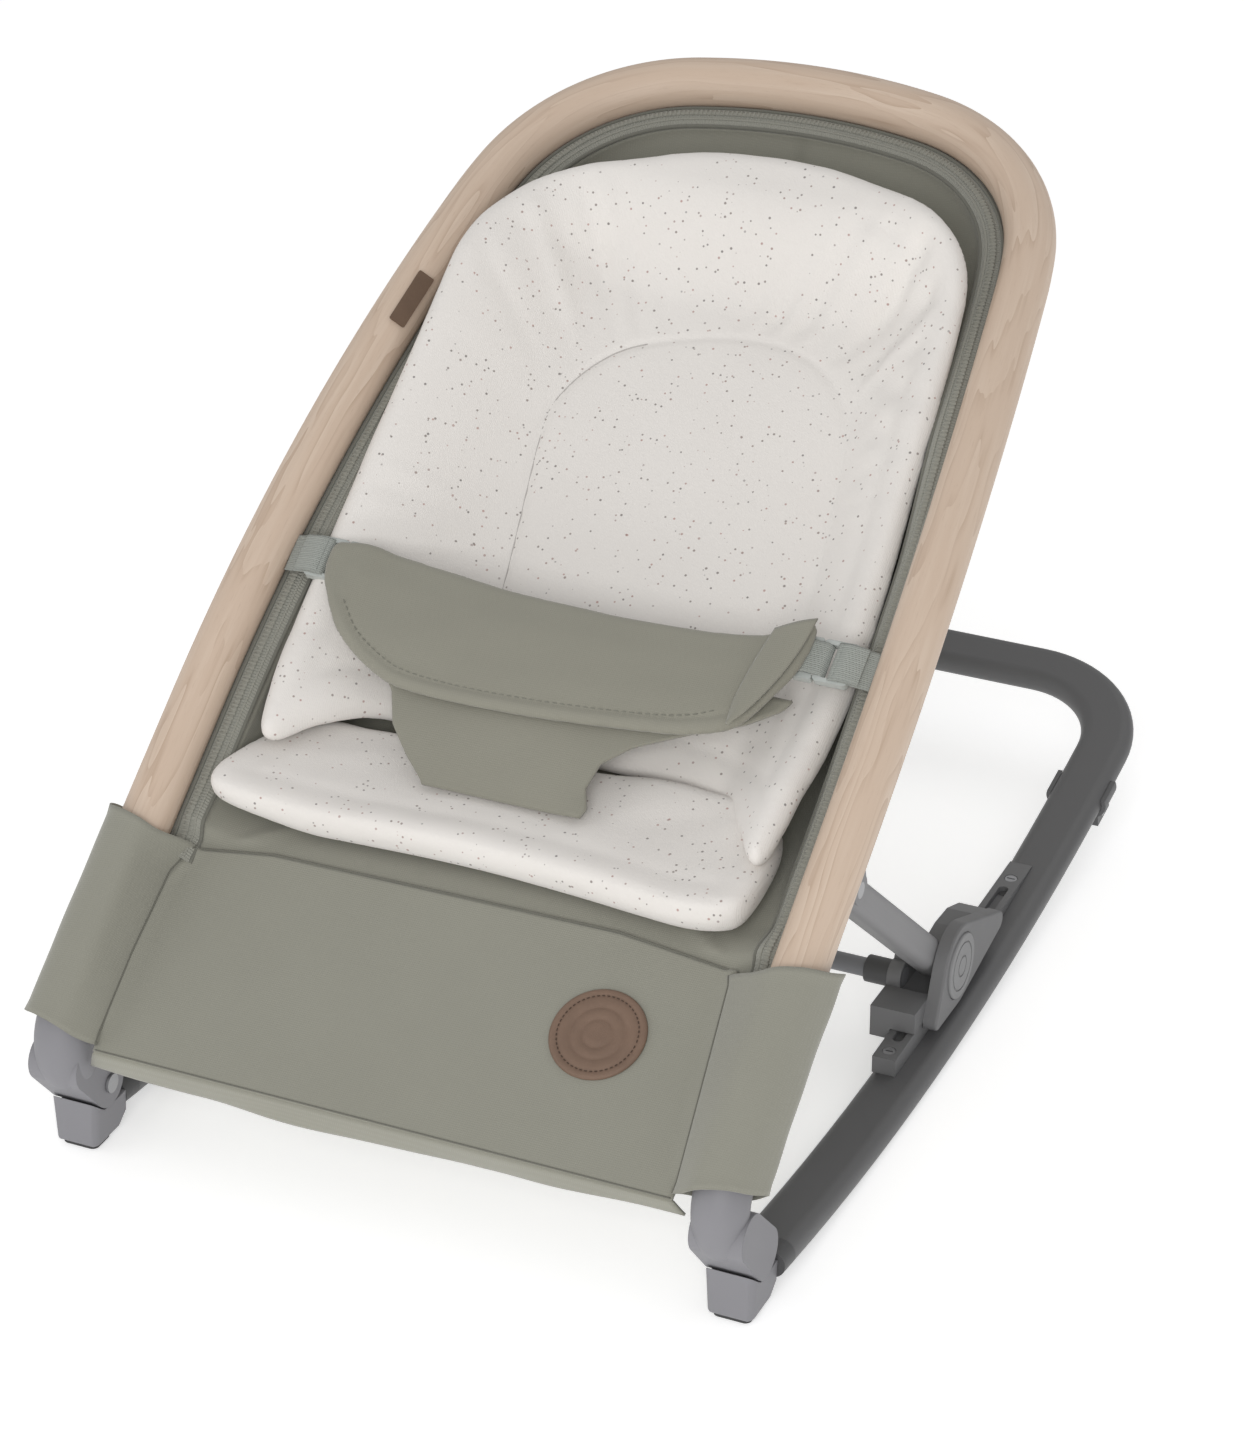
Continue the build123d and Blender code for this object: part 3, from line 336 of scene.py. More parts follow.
class Nodes:
    """Small helper to write node materials."""

    def __init__(self, name, **principled):
        self.mat = bpy.data.materials.new(name)
        self.mat.use_nodes = True
        self.tree = self.mat.node_tree
        self.shader = self.tree.nodes["Principled BSDF"]
        for key, value in principled.items():
            self.shader.inputs[key.replace("_", " ")].default_value = value

    def add(self, kind, inputs=None, **settings):
        node = self.tree.nodes.new("ShaderNode" + kind)
        for k, v in settings.items():
            setattr(node, k, v)
        for k, v in (inputs or {}).items():
            if isinstance(v, bpy.types.NodeSocket):
                self.tree.links.new(v, node.inputs[k])
            else:
                node.inputs[k].default_value = v
        return node

    def object_coords(self, **mapping):
        coords = self.add("TexCoord").outputs["Object"]
        return self.add("Mapping", {"Vector": coords, **mapping}).outputs[0]

    def flat_coords(self, scale=(1, 1, 1)):
        coords = self.add("Attribute", attribute_name="flat").outputs["Vector"]
        return self.add("Mapping", {"Vector": coords, "Scale": scale}).outputs[0]

    def noise(self, vector, scale, detail=3, roughness=0.5):
        inputs = {"Vector": vector, "Scale": scale, "Detail": detail, "Roughness": roughness}
        return self.add("TexNoise", inputs).outputs["Fac"]

    def wave(self, vector, scale, direction="X", inputs=None, **settings):
        inputs = {"Vector": vector, "Scale": scale, **(inputs or {})}
        return self.add("TexWave", inputs, bands_direction=direction, **settings).outputs["Fac"]

    def ramp(self, fac, stops):
        r = self.add("ValToRGB", {"Fac": fac})
        while len(r.color_ramp.elements) < len(stops):
            r.color_ramp.elements.new(0.5)
        for e, (pos, col) in zip(r.color_ramp.elements, stops):
            e.position = pos
            e.color = (*col, 1) if hasattr(col, "__len__") else (col, col, col, 1)
        return r.outputs["Color"]

    def math(self, op, a, b):
        return self.add("Math", {0: a, 1: b}, operation=op).outputs[0]

    def times(self, a, b):
        return self.math("MULTIPLY", a, b)

    def plus(self, a, b):
        return self.math("ADD", a, b)

    def mix(self, fac, a, b):
        """Mixed colour. Inputs 0, 6 and 7 are the node's factor and its two colours."""
        inputs = {0: fac}
        for key, value in ((6, a), (7, b)):
            inputs[key] = value if isinstance(value, bpy.types.NodeSocket) else (*value, 1)
        return self.add("Mix", inputs, data_type="RGBA").outputs[2]

    def colour(self, socket):
        self.tree.links.new(socket, self.shader.inputs["Base Color"])

    def rough(self, socket):
        self.tree.links.new(socket, self.shader.inputs["Roughness"])

    def bevel(self):
        return self.add("Bevel", {"Radius": 0.0007}, samples=4).outputs[0]

    def bump(self, height, strength, distance, normal=None):
        inputs = {"Height": height, "Strength": strength, "Distance": distance}
        if normal is not None:
            inputs["Normal"] = normal
        self.tree.links.new(self.add("Bump", inputs).outputs[0], self.shader.inputs["Normal"])


def tint(colour, factor):
    """Lighter or darker tone of a colour."""
    return tuple(min(1.0, c * factor) for c in colour)


def fabric(name, colour, weave=1400, depth=0.00012, ribs=None):
    """Woven cloth: a fine crossed weave, slight mottling, soft sheen, and ribs across its length."""
    m = Nodes(name, Roughness=0.9, Sheen_Weight=0.25, Sheen_Roughness=0.5, Specular_IOR_Level=0.2)
    v = m.object_coords()
    tilted = m.object_coords(Rotation=(rad(-BACK_ANGLE), 0, 0))
    thread = {"Distortion": 1.2, "Detail": 1.0, "Detail Scale": 3.0}
    warp = m.wave(v, weave / 6.0, "X", thread)
    weft = m.wave(tilted, weave / 6.0, "Y", thread)
    cross = m.times(warp, weft)
    fibre = m.noise(v, 900, 2, 0.6)
    height = m.plus(m.times(cross, 0.7), m.times(fibre, 0.6))
    base = m.mix(m.noise(v, 14, 4, 0.6), tint(colour, 0.95), tint(colour, 1.05))
    gaps = m.times(m.math("SUBTRACT", 1.0, cross), 0.16)
    m.colour(m.mix(gaps, base, tint(colour, 0.55)))
    if ribs:
        rib = m.wave(m.flat_coords(), ribs, "X", {"Distortion": 0.0})
        height = m.plus(height, m.times(rib, 1.5))
    m.bump(height, 0.6, depth * 2)
    return m.mat


def plastic(name, colour, rough=0.55, coat=0.0):
    """Moulded plastic with a fine spark texture, faint wear and soft edges."""
    m = Nodes(name, Specular_IOR_Level=0.4, Coat_Weight=coat)
    v = m.object_coords()
    wide = m.noise(v, 22, 4, 0.55)
    m.colour(m.mix(wide, tint(colour, 0.93), tint(colour, 1.07)))
    m.rough(m.ramp(wide, [(0.3, rough - 0.05), (0.7, rough + 0.06)]))
    m.bump(m.noise(v, 1600, 2, 0.6), 0.35, 0.00012, m.bevel())
    return m.mat


def wood_material():
    """Light beech: straight growth rings cut by the round bar, fine pores and rays."""
    m = Nodes("wood_beech", Specular_IOR_Level=0.35, Coat_Weight=0.08, Coat_Roughness=0.4)
    drift = m.noise(m.flat_coords((3.2, 30, 30)), 1.0, 3, 0.5)
    shift = m.add("CombineXYZ", {"X": 0.0, "Y": m.times(drift, 3.6), "Z": m.times(drift, 2.2)})
    along = {0: m.flat_coords((0.35, 42, 26)), 1: shift.outputs[0]}
    bent = m.add("VectorMath", along, operation="ADD").outputs[0]
    grain = {"Distortion": 1.6, "Detail": 2.0, "Detail Scale": 0.7}
    rings = m.wave(bent, 1.1, "DIAGONAL", grain, wave_type="BANDS", wave_profile="SAW")
    streak = m.noise(m.flat_coords((5, 260, 260)), 1.0, 4, 0.65)
    fleck = m.noise(m.flat_coords((90, 1500, 1500)), 1.0, 2, 0.7)
    wide = m.noise(m.flat_coords((2.5, 12, 12)), 1.0, 2, 0.5)
    light, mid, dark = (0.635, 0.512, 0.410), (0.575, 0.445, 0.345), (0.455, 0.330, 0.242)
    base = m.ramp(rings, [(0.0, light), (0.72, mid), (1.0, dark)])
    base = m.mix(m.ramp(streak, [(0.38, 0.0), (0.62, 1.0)]), base, mid)
    base = m.mix(m.ramp(fleck, [(0.60, 0.0), (0.72, 0.45)]), base, dark)
    base = m.mix(m.times(wide, 0.35), base, light)
    m.colour(base)
    m.rough(m.ramp(streak, [(0.3, 0.42), (0.7, 0.55)]))
    m.bump(m.plus(m.times(streak, 0.5), m.times(fleck, 0.5)), 0.25, 0.0002)
    return m.mat


# Fields of flecks: cells per metre, radius of a fleck within its cell, shift of the cells.
FLECKS = ((150.0, 0.105, (0.13, 0.2, 0.3)), (210.0, 0.13, (0.7, 0.1, 0.9)), (95.0, 0.07, (0.4, 0.9, 0.5)))
FLECK_TONES = [
    (0.0, (0.06, 0.05, 0.05)),
    (0.45, (0.16, 0.12, 0.10)),
    (0.75, (0.40, 0.20, 0.17)),
    (1.0, (0.30, 0.29, 0.28)),
]


def jersey_material():
    """Off-white jersey with sparse dark, brown and pink flecks."""
    sheen = {"Sheen_Weight": 0.2, "Sheen_Roughness": 0.6}
    m = Nodes("jersey_flecked", Roughness=0.95, Specular_IOR_Level=0.12, **sheen)
    v = m.object_coords()
    base = m.mix(m.noise(v, 9, 3, 0.5), (0.735, 0.70, 0.665), (0.79, 0.76, 0.725))
    for scale, size, where in FLECKS:
        cell = m.add("TexVoronoi", {"Vector": m.object_coords(Location=where), "Scale": scale})
        dot = m.ramp(cell.outputs["Distance"], [(0.0, 1.0), (size, 0.8), (size * 1.35, 0.0)])
        pick = m.add("SeparateColor", {"Color": cell.outputs["Color"]})
        keep = m.math("GREATER_THAN", pick.outputs[0], 0.45)
        tone = m.ramp(pick.outputs[1], FLECK_TONES)
        base = m.mix(m.times(m.times(dot, keep), 0.8), base, tone)
    m.colour(base)
    knit = m.wave(v, 330.0, "X", {"Distortion": 2.0, "Detail": 1.0})
    fine = m.noise(v, 700, 3, 0.65)
    lumps = m.noise(v, 60, 2, 0.5)
    m.bump(m.plus(m.times(knit, 0.25), m.plus(m.times(fine, 0.8), m.times(lumps, 0.8))), 0.5, 0.0006)
    return m.mat


def leather_material(name, colour):
    """Leather with a fine grain of cells and slow changes of tone."""
    m = Nodes(name, Roughness=0.6, Specular_IOR_Level=0.35)
    v = m.object_coords()
    cell = m.add("TexVoronoi", {"Vector": v, "Scale": 1100.0}, feature="DISTANCE_TO_EDGE")
    pores = m.ramp(cell.outputs["Distance"], [(0.0, 0.0), (0.25, 1.0)])
    wide = m.noise(v, 60, 4, 0.6)
    m.colour(m.mix(wide, tint(colour, 0.8), tint(colour, 1.2)))
    m.bump(m.plus(pores, m.times(wide, 0.6)), 0.4, 0.0002)
    return m.mat


def paint_material(name, colour, rough):
    """Powder paint with a slight peel and soft edges."""
    m = Nodes(name, Specular_IOR_Level=0.45)
    v = m.object_coords()
    wide = m.noise(v, 12, 3, 0.5)
    m.colour(m.mix(wide, tint(colour, 0.94), tint(colour, 1.06)))
    m.rough(m.ramp(wide, [(0.3, rough - 0.04), (0.7, rough + 0.05)]))
    m.bump(m.noise(v, 700, 2, 0.5), 0.2, 0.00012, m.bevel())
    return m.mat


def steel_material():
    """Turned steel."""
    m = Nodes("steel_pins", Metallic=0.9)
    turned = m.noise(m.object_coords(), 900, 2, 0.5)
    m.colour(m.mix(turned, (0.30, 0.30, 0.31), (0.42, 0.42, 0.43)))
    m.rough(m.ramp(turned, [(0.3, 0.35), (0.7, 0.48)]))
    m.bump(turned, 0.15, 0.0001)
    return m.mat


SAGE = (0.285, 0.280, 0.235)
MATS = {
    "wood": wood_material(),
    "canvas": fabric("canvas_sage", SAGE),
    "belt": fabric("canvas_belt", (0.272, 0.264, 0.218)),
    "zip_tape": fabric("zip_tape", (0.325, 0.322, 0.280), weave=2400, depth=0.0003, ribs=160.0),
    "coil": fabric("zip_coil", (0.300, 0.297, 0.258), weave=2400, ribs=160.0),
    "piping": fabric("piping", (0.17, 0.168, 0.143)),
    "seam": fabric("seam_sage", (0.150, 0.147, 0.122)),
    "jersey_seam": fabric("seam_jersey", (0.50, 0.475, 0.45)),
    "strap": fabric("strap_webbing", (0.36, 0.38, 0.35), weave=2200, depth=0.0003, ribs=260.0),
    "jersey": jersey_material(),
    "leather": leather_material("leather_brown", (0.185, 0.120, 0.085)),
    "leather_dark": leather_material("leather_tag", (0.135, 0.085, 0.055)),
    "light_grey": plastic("plastic_light_grey", (0.215, 0.212, 0.226)),
    "grey": plastic("plastic_grey", (0.215, 0.213, 0.218)),
    "hub": plastic("plastic_hub", (0.150, 0.150, 0.153)),
    "button": plastic("plastic_button", (0.215, 0.215, 0.218)),
    "dark": plastic("plastic_dark", (0.105, 0.105, 0.108), rough=0.5),
    "darker": plastic("plastic_darker", (0.072, 0.072, 0.074), rough=0.5),
    "pale": plastic("plastic_pale", (0.46, 0.485, 0.465), rough=0.35, coat=0.2),
    "base": paint_material("paint_base", (0.104, 0.104, 0.106), 0.48),
    "bar": paint_material("paint_bar", (0.185, 0.188, 0.200), 0.45),
    "rubber": plastic("rubber_tread", (0.05, 0.05, 0.05), rough=0.8),
    "steel": steel_material(),
    "thread": plastic("thread_sage", (0.20, 0.198, 0.165), rough=0.8),
    "thread_dark": plastic("thread_brown", (0.07, 0.045, 0.033), rough=0.8),
}


def paint(obj, key):
    obj.data.materials.clear()
    obj.data.materials.append(MATS[key])


def place(obj, key, nodes=()):
    """Give a new piece of the seat its material, hang it on the seat body and hide the nodes it stands for.
    """
    paint(obj, key)
    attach(obj, "seat")
    if nodes:
        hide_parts(*nodes)
    return obj


CAD_LOOKS = {
    "base_tube": "base", "rail_plug": "darker", "front_foot": "light_grey", "foot_pad": "rubber",
    "front_hinge_pins": "steel", "track_screws": "steel", "track": "hub", "rear_bracket": "dark",
    "rear_foot_pins": "steel", "rear_foot_pad": "rubber", "rear_foot": "grey", "leg_end": "light_grey",
    "strut_bracket": "grey", "strut_top_pins": "steel", "strut_screws": "steel", "strut": "grey",
    "hub_pins": "steel", "hub": "hub", "crossbar_collars": "darker", "crossbar": "bar",
    "slide_shoes": "darker", "release_button": "button", "leather_tag": "leather_dark", "buckle": "pale",
}
for node_name, node in frame["nodes"].items():
    for prefix, key in CAD_LOOKS.items():
        if node_name.startswith(prefix):
            paint(node, key)
            break


# ------------------------------------------------------------- the wood hoop

UP = np.array([0, A_NORMAL[0], A_NORMAL[1]])
LINE_COUNTS = (60, 40, 8, 40, 16)
WOOD_RADIUS = 16.0


def full_line(inset, v0):
    """Whole U of the hoop's plan from the left front to the right front: x and v."""
    x, v = outline(inset, v0, LINE_COUNTS)
    return np.concatenate([-x, x[-2::-1]]), np.concatenate([v, v[-2::-1]])


def trim(name, line, profile, key, up=UP):
    """Cord or bead swept along a line of points."""
    return place(sweep(name, line, profile, up), key)


hoop_x, hoop_v = full_line(0, to_arch(*LEG_END)[0])
hoop = sweep("wood_hoop", from_arch(hoop_x, hoop_v, hoop_w(hoop_v)), circle(WOOD_RADIUS * MM, 40), UP)
place(hoop, "wood", nodes=["seat_hoop"])


# ---------------------------------------------------------------- the zip band


def cloth(name, grid, thickness, key, nodes=(), flat=None):
    """Thin sheet about a grid of points; flat, when given, is stored as the sheet's flat coordinates."""
    obj = thick(name, grid, thickness, flat)
    place(obj, key, nodes=nodes)


# Where the band starts in front, and its section: inset from the hoop, height off it.
V_BAND = -483
BAND_PROFILE = [
    (12.4, -9.8), (14.6, -8.4), (17.4, -6.6), (20, -5.6), (24, -5.0), (28, -5.6), (30.6, -7.6), (31.2, -9.2),
]
BAND_EDGE = 31.6
EDGE_DROP = 8.5
ZIP_INSET = 23.0
TOOTH_PITCH = 2.9
TOOTH_SIZE = np.array([0.8, 2.0, 0.6]) * MM
TOOTH = np.array([
    (-1, -1, 0), (1, -1, 0), (1, 1, 0), (-1, 1, 0),
    (-0.6, -0.9, 1), (0.6, -0.9, 1), (0.6, 0.9, 1), (-0.6, 0.9, 1),
])


def side_edge(x, v):
    """Height of the hammock's edge at the band: lower on the right, down to the panel in front."""
    along = smooth((-95 - v) / 110) * smooth((v + 462) / 30)
    edge = hoop_w(v) - EDGE_DROP - along * np.where(x > 0, 15.0, 2.0)
    bottom = np.interp(v, *trough())
    return edge + (np.minimum(edge, bottom + 1.0) - edge) * smooth((-458 - v) / 10)


def band_line(inset, off, v0=V_BAND):
    """Line along the band at an inset from the hoop and a height off it."""
    x, v = full_line(inset, v0)
    share = np.clip((inset - 14) / 17, 0, 1)
    top = hoop_w(v)
    return from_arch(x, v, top + off - share * (top - EDGE_DROP - side_edge(x, v)))


def zip_teeth():
    """Coil of small teeth down the middle of the band."""
    line = band_line(ZIP_INSET, -4.0, V_BAND + 4)
    coil = sweep("zip_coil", line, rounded_bar(3.0 * MM, 1.4 * MM, 0.6 * MM), UP)
    steps = np.arange(4 * MM, run_length(line)[-1] - 4 * MM, TOOTH_PITCH * MM)
    mid = at_lengths(line, steps)
    forward = unit(at_lengths(line, steps + 0.5 * MM) - mid)
    side = unit(np.cross(forward, UP))
    normal = np.cross(side, forward)
    verts, faces = [], []
    for p, *axes in zip(mid + normal * 0.6 * MM, forward, side, normal):
        k = len(verts)
        verts += list(p + (TOOTH * TOOTH_SIZE) @ np.array(axes))
        faces += [(k, k + 3, k + 2, k + 1), (k + 4, k + 5, k + 6, k + 7)]
        faces += [(k + i, k + (i + 1) % 4, k + 4 + (i + 1) % 4, k + 4 + i) for i in range(4)]
    teeth = new_object("zip_teeth", verts, faces, soft=False)
    return join("zip_coil", [coil, teeth])


def zip_band():
    """Curved zip tape along the hoop's inner side, with its coil, edge and piping."""
    grid = np.stack([band_line(inset, off) for inset, off in BAND_PROFILE], 1)
    length = run_length(grid[:, 0])
    across = np.array([inset for inset, _ in BAND_PROFILE]) * MM
    flat = np.stack(np.broadcast_arrays(length[:, None], across[None], 0.0), -1)
    edge_bar = rounded_bar(1.6 * MM, 1.0 * MM, 0.4 * MM)
    trims = [
        place(zip_teeth(), "coil"),
        trim("hoop_piping", band_line(17.3, -5.4), circle(1.1 * MM, 10), "piping"),
        trim("band_piping", band_line(31.2, -7.4), circle(1.3 * MM, 10), "piping"),
        trim("zip_tape_edge", band_line(27.4, -4.6), edge_bar, "coil"),
    ]
    cloth("zip_band_strip", grid, 1.4 * MM, "zip_tape",
          nodes=["zip_band"], flat=flat)


# ------------------------------------------------------------- the hammock

BACK_SLOPE = math.tan(rad(BACK_ANGLE))
SEAT_SLOPE = math.tan(rad(SEAT_ANGLE))
PANEL_FOOT = (-29.0, 86.0)
PANEL_ANGLE = 31.9
HAMMOCK_INSETS = (
    BAND_EDGE, 31.8, 32.1, 32.5, 33.2, 34.4, 36, 38, 41, 44, 48, 52, 57, 62, 68, 74, 80, 86, 90,
)
HAMMOCK_FRONT = (66, 146)


def soft_excess(gap, width):
    """What rounds off the corner where two lines cross, against the gap between them."""
    return width * np.log1p(np.exp(-np.abs(gap) / width))


def back_up(back):
    """Height of the back's plane in the side view."""
    return CREASE[1] + (back - CREASE[0]) * BACK_SLOPE


def seat_up(back):
    """Height of the seat's plane in the side view."""
    return SEAT_FRONT[1] + (back - SEAT_FRONT[0]) * SEAT_SLOPE


def trough():
    """Heights w off the arch plane of the hammock's middle line against v: the tables v and w."""
    back = np.linspace(20, 640, 500)
    seat = seat_up(back) - 2.6
    panel = PANEL_FOOT[1] + (back - PANEL_FOOT[0]) * math.tan(rad(PANEL_ANGLE)) - 2.6
    front = np.minimum(seat, panel) - soft_excess(seat - panel, 3.0)
    rest = back_up(back) - 24.2 / math.cos(rad(BACK_ANGLE))
    return to_arch(back, np.maximum(front, rest) + soft_excess(front - rest, 6.0))


def hammock():
    """Fabric that hangs in the hoop: steep walls, a flat floor, faint ripples and pulls."""
    x, v, d = seat_grid(HAMMOCK_INSETS, 24, to_arch(*HAMMOCK_FRONT)[0], (64, 30, 4, 18, 8))
    edge = side_edge(x, v)
    share = (1 - (1 - np.clip((d - BAND_EDGE) / 52.0, 0, 1)) ** 2.2) ** 0.36
    w = edge + (np.interp(v, *trough()) - edge) * share
    ripple = waves(x / 34, v / 60, 5) * 0.7 + waves(x / 90, v / 22, 9) * 0.5
    w = w + ripple * smooth((d - 40) / 30) * 0.8 * smooth((v + 462) / 14) - 0.6
    pull = bell(np.abs(x) + (v + 470) * 1.2 - 162, 6) * smooth((v + 492) / 12) * smooth((-425 - v) / 24)
    w = w + 2.0 * pull * smooth((v + 466) / 8)
    grid = from_arch(x, v, w)
    half = 1.0 * MM * UP
    obj = shell("seat_hammock", grid + half, grid - half)
    place(obj, "canvas", nodes=["seat_fabric"])


zip_band()
hammock()


# ------------------------------------------------------------------ the pads

LEAST_THICKNESS = 0.12


def spline(points, n, closed=False):
    """Catmull-Rom curve through points."""
    p = np.asarray(points, float)
    if closed:
        p = np.concatenate([p[-1:], p, p[:2]])
    else:
        p = np.concatenate([2 * p[:1] - p[1:2], p, 2 * p[-1:] - p[-2:-1]])
    segments = len(p) - 3
    t = np.linspace(0, segments, n, endpoint=not closed)
    k = np.minimum(t.astype(int), segments - 1)
    f = (t - k)[:, None]
    a, b, c, d = p[k], p[k + 1], p[k + 2], p[k + 3]
    square = 2 * a - 5 * b + 4 * c - d
    cube = 3 * b - a - 3 * c + d
    return 0.5 * (2 * b + (c - a) * f + square * f**2 + cube * f**3)


def to_rim(x, v, rim):
    """Distance to a closed rim, whether each point is inside, and the nearest rim point."""
    shape = x.shape
    p = np.stack([x.ravel(), v.ravel()], -1)
    a, b = rim, np.roll(rim, -1, 0)
    best = np.full(len(p), 1e9)
    near = np.zeros_like(p)
    inside = np.zeros(len(p), bool)
    for q, r in zip(a, b):
        e = r - q
        t = np.clip(((p - q) @ e) / max(e @ e, 1e-12), 0, 1)
        c = q + t[:, None] * e
        dist = np.linalg.norm(p - c, axis=1)
        closer = dist < best
        best[closer] = dist[closer]
        near[closer] = c[closer]
        if q[1] != r[1]:
            cross = (p[:, 1] < q[1]) != (p[:, 1] < r[1])
            inside ^= cross & (p[:, 0] < q[0] + (p[:, 1] - q[1]) * e[0] / e[1])
    return best.reshape(shape), inside.reshape(shape), near.reshape(shape + (2,))


def pad_profile(dist, radius):
    """Share of the full thickness at a distance from the rim: round over the first radius."""
    t = np.clip(dist / radius, 0, 1)
    return np.maximum(np.sqrt(np.maximum(0, 1 - (1 - t) ** 2)), LEAST_THICKNESS)


def boundary(quads):
    """Edges that only one of the quads has."""
    edges = {}
    for q in quads:
        for a, b in zip(q, q[1:] + q[:1]):
            if (b, a) in edges:
                del edges[(b, a)]
            else:
                edges[(a, b)] = True
    return list(edges)


def two_sheets(name, rim, top_of, thickness, radius, to_world, step):
    """Closed form over a rim, from an upper and a lower grid of points step apart."""
    low, high = rim.min(0) - step, rim.max(0) + step
    gx, gv = np.meshgrid(np.arange(low[0], high[0] + step, step), np.arange(low[1], high[1] + step, step))
    dist, inside, near = to_rim(gx, gv, rim)
    keep = inside | (dist < 0.75 * step)
    gx = np.where(inside, gx, near[..., 0])
    gv = np.where(inside, gv, near[..., 1])
    dist = np.where(inside, dist, 0)
    thick_at = thickness(gx, gv) if callable(thickness) else thickness
    middle = top_of(gx, gv, dist) - thick_at / 2
    half = thick_at / 2 * pad_profile(dist, radius)
    upper, lower = (to_world(gx, gv, middle + side * half)[keep] for side in (1, -1))
    n = keep.sum()
    index = -np.ones(gx.shape, int)
    index[keep] = np.arange(n)
    cells = index[:-1, :-1], index[:-1, 1:], index[1:, 1:], index[1:, :-1]
    quads = np.stack([c.ravel() for c in cells], 1)
    quads = quads[(quads >= 0).all(1)]
    walls = [(b, a, a + n, b + n) for a, b in boundary(quads.tolist())]
    faces = quads.tolist() + (quads[:, ::-1] + n).tolist() + walls
    return new_object(name, np.concatenate([upper, lower]), faces)


def cushion(name, rim, top_of, thickness, radius, plane, relief, voxel, step=2.0):
    """Padded form over a closed rim. top_of gives its upper face, relief its wrinkles, in mm."""
    to_world, to_local = plane
    obj = two_sheets(name, rim, top_of, thickness, radius, to_world, step)
    modifier(obj, "REMESH", mode="VOXEL", voxel_size=voxel * MM, adaptivity=0.0)
    modifier(obj, "SMOOTH", factor=0.5, iterations=4)
    mesh = obj.data
    co = np.empty(len(mesh.vertices) * 3, np.float32)
    mesh.vertices.foreach_get("co", co)
    co = co.reshape(-1, 3).astype(float)
    normal = np.array([vertex.normal for vertex in mesh.vertices], float)
    x, v, lift = to_local(co)
    d, within, _ = to_rim(x, v, rim[::2])
    d = np.where(within, d, -d)
    upward = to_local(co + normal * MM)[2] - lift
    move = relief(x, v, d) * smooth((upward + 0.1) / 0.5)
    co += normal * move[:, None] * MM
    mesh.vertices.foreach_set("co", co.astype(np.float32).ravel())
    mesh.update()
    mesh.polygons.foreach_set("use_smooth", [True] * len(mesh.polygons))
    return obj


def plane_pair(origin, angle):
    """Functions to and from a tilted plane: x across, v up the plane, lift off it."""
    c, s = math.cos(rad(angle)), math.sin(rad(angle))

    def to_world(x, v, lift):
        return world(x, origin[0] + v * c - lift * s, origin[1] + v * s + lift * c)

    def to_local(co):
        back, up = co[:, 1] / MM + MID_BACK - origin[0], co[:, 2] / MM - origin[1]
        return co[:, 0] / MM, back * c + up * s, -back * s + up * c

    return to_world, to_local


BELT_ORIGIN = (225.0, 270.0)
BELT_ANGLE = 34.5
BACK_PLANE = plane_pair(CREASE, BACK_ANGLE)
SEAT_PLANE = plane_pair(SEAT_FRONT, SEAT_ANGLE)
BELT_PLANE = plane_pair(BELT_ORIGIN, BELT_ANGLE)
on_back = BACK_PLANE[0]
on_belt = BELT_PLANE[0]
on_panel = plane_pair(PANEL_FOOT, PANEL_ANGLE)[0]

BACK_RIM = [
    (-163, -46), (-169, -20), (-173.5, 26), (-175, 84), (-174, 140), (-172.5, 190), (-170.5, 240),
    (-168.5, 297), (-165.5, 322), (-157, 344), (-144, 363), (-124, 378), (-99, 391), (-50, 409), (0, 416),
    (40, 415), (80, 406), (118, 390), (140, 373), (153, 350), (158, 318), (161, 274), (165, 207), (170, 140),
    (173.5, 70), (173, 24), (171, -10), (168, -50), (162, -60), (153, -54), (138, -34), (108, -10),
    (70, -3), (0, -1), (-70, 0), (-110, -6), (-136, -28), (-152, -48),
]
BACK_HALF_WIDTH = ([-60, 0, 100, 200, 280, 330, 360, 400], [164, 168, 172, 172, 168, 161, 148, 118])
LEFT_RISE = (
    [-50, 0, 26, 84, 186, 250, 300, 330, 352, 374, 400], [48, 44, 40, 40, 43, 48, 49, 46, 41, 36, 32],
)
RIGHT_RISE = ([-60, -9, 24, 70, 139, 207, 274, 316, 350, 388], [48, 41, 32, 26, 25, 27, 32, 35, 38, 38])


def back_height(x, v, _dist):
    """Upper face of the back pad: flat in the middle, turned up to the wings and the top."""
    half = np.interp(v, *BACK_HALF_WIDTH)
    rise = np.where(x < 0, np.interp(v, *LEFT_RISE), np.interp(v, *RIGHT_RISE))
    start = np.where(x < 0, 84, 98 + 12 * smooth((250 - v) / 120)) - 44 * smooth((v - 328) / 42)
    side = rise * smooth((np.abs(x) - start) / (half - 2 - start)) ** 0.85
    head = 31.5 * smooth((v - 312) / 76)
    return (side**3 + head**3) ** (1 / 3)


TOMB = spline([
    (-63, 30), (-66, 66), (-76, 140), (-86, 213), (-82, 240), (-68, 264), (-46, 281), (-4, 294),
    (36, 298), (70, 288), (94, 266), (106, 238), (114, 190), (122, 130), (128, 80), (132, 30),
], 190)


def tomb_distance(x, v):
    """Signed distance to the sewn inner panel of the back pad, negative inside."""
    closed = np.concatenate([TOMB, [(134, 10), (-60, 10)]])
    d, inside, _ = to_rim(x, v, closed[::3])
    return np.where(inside, -d, d)


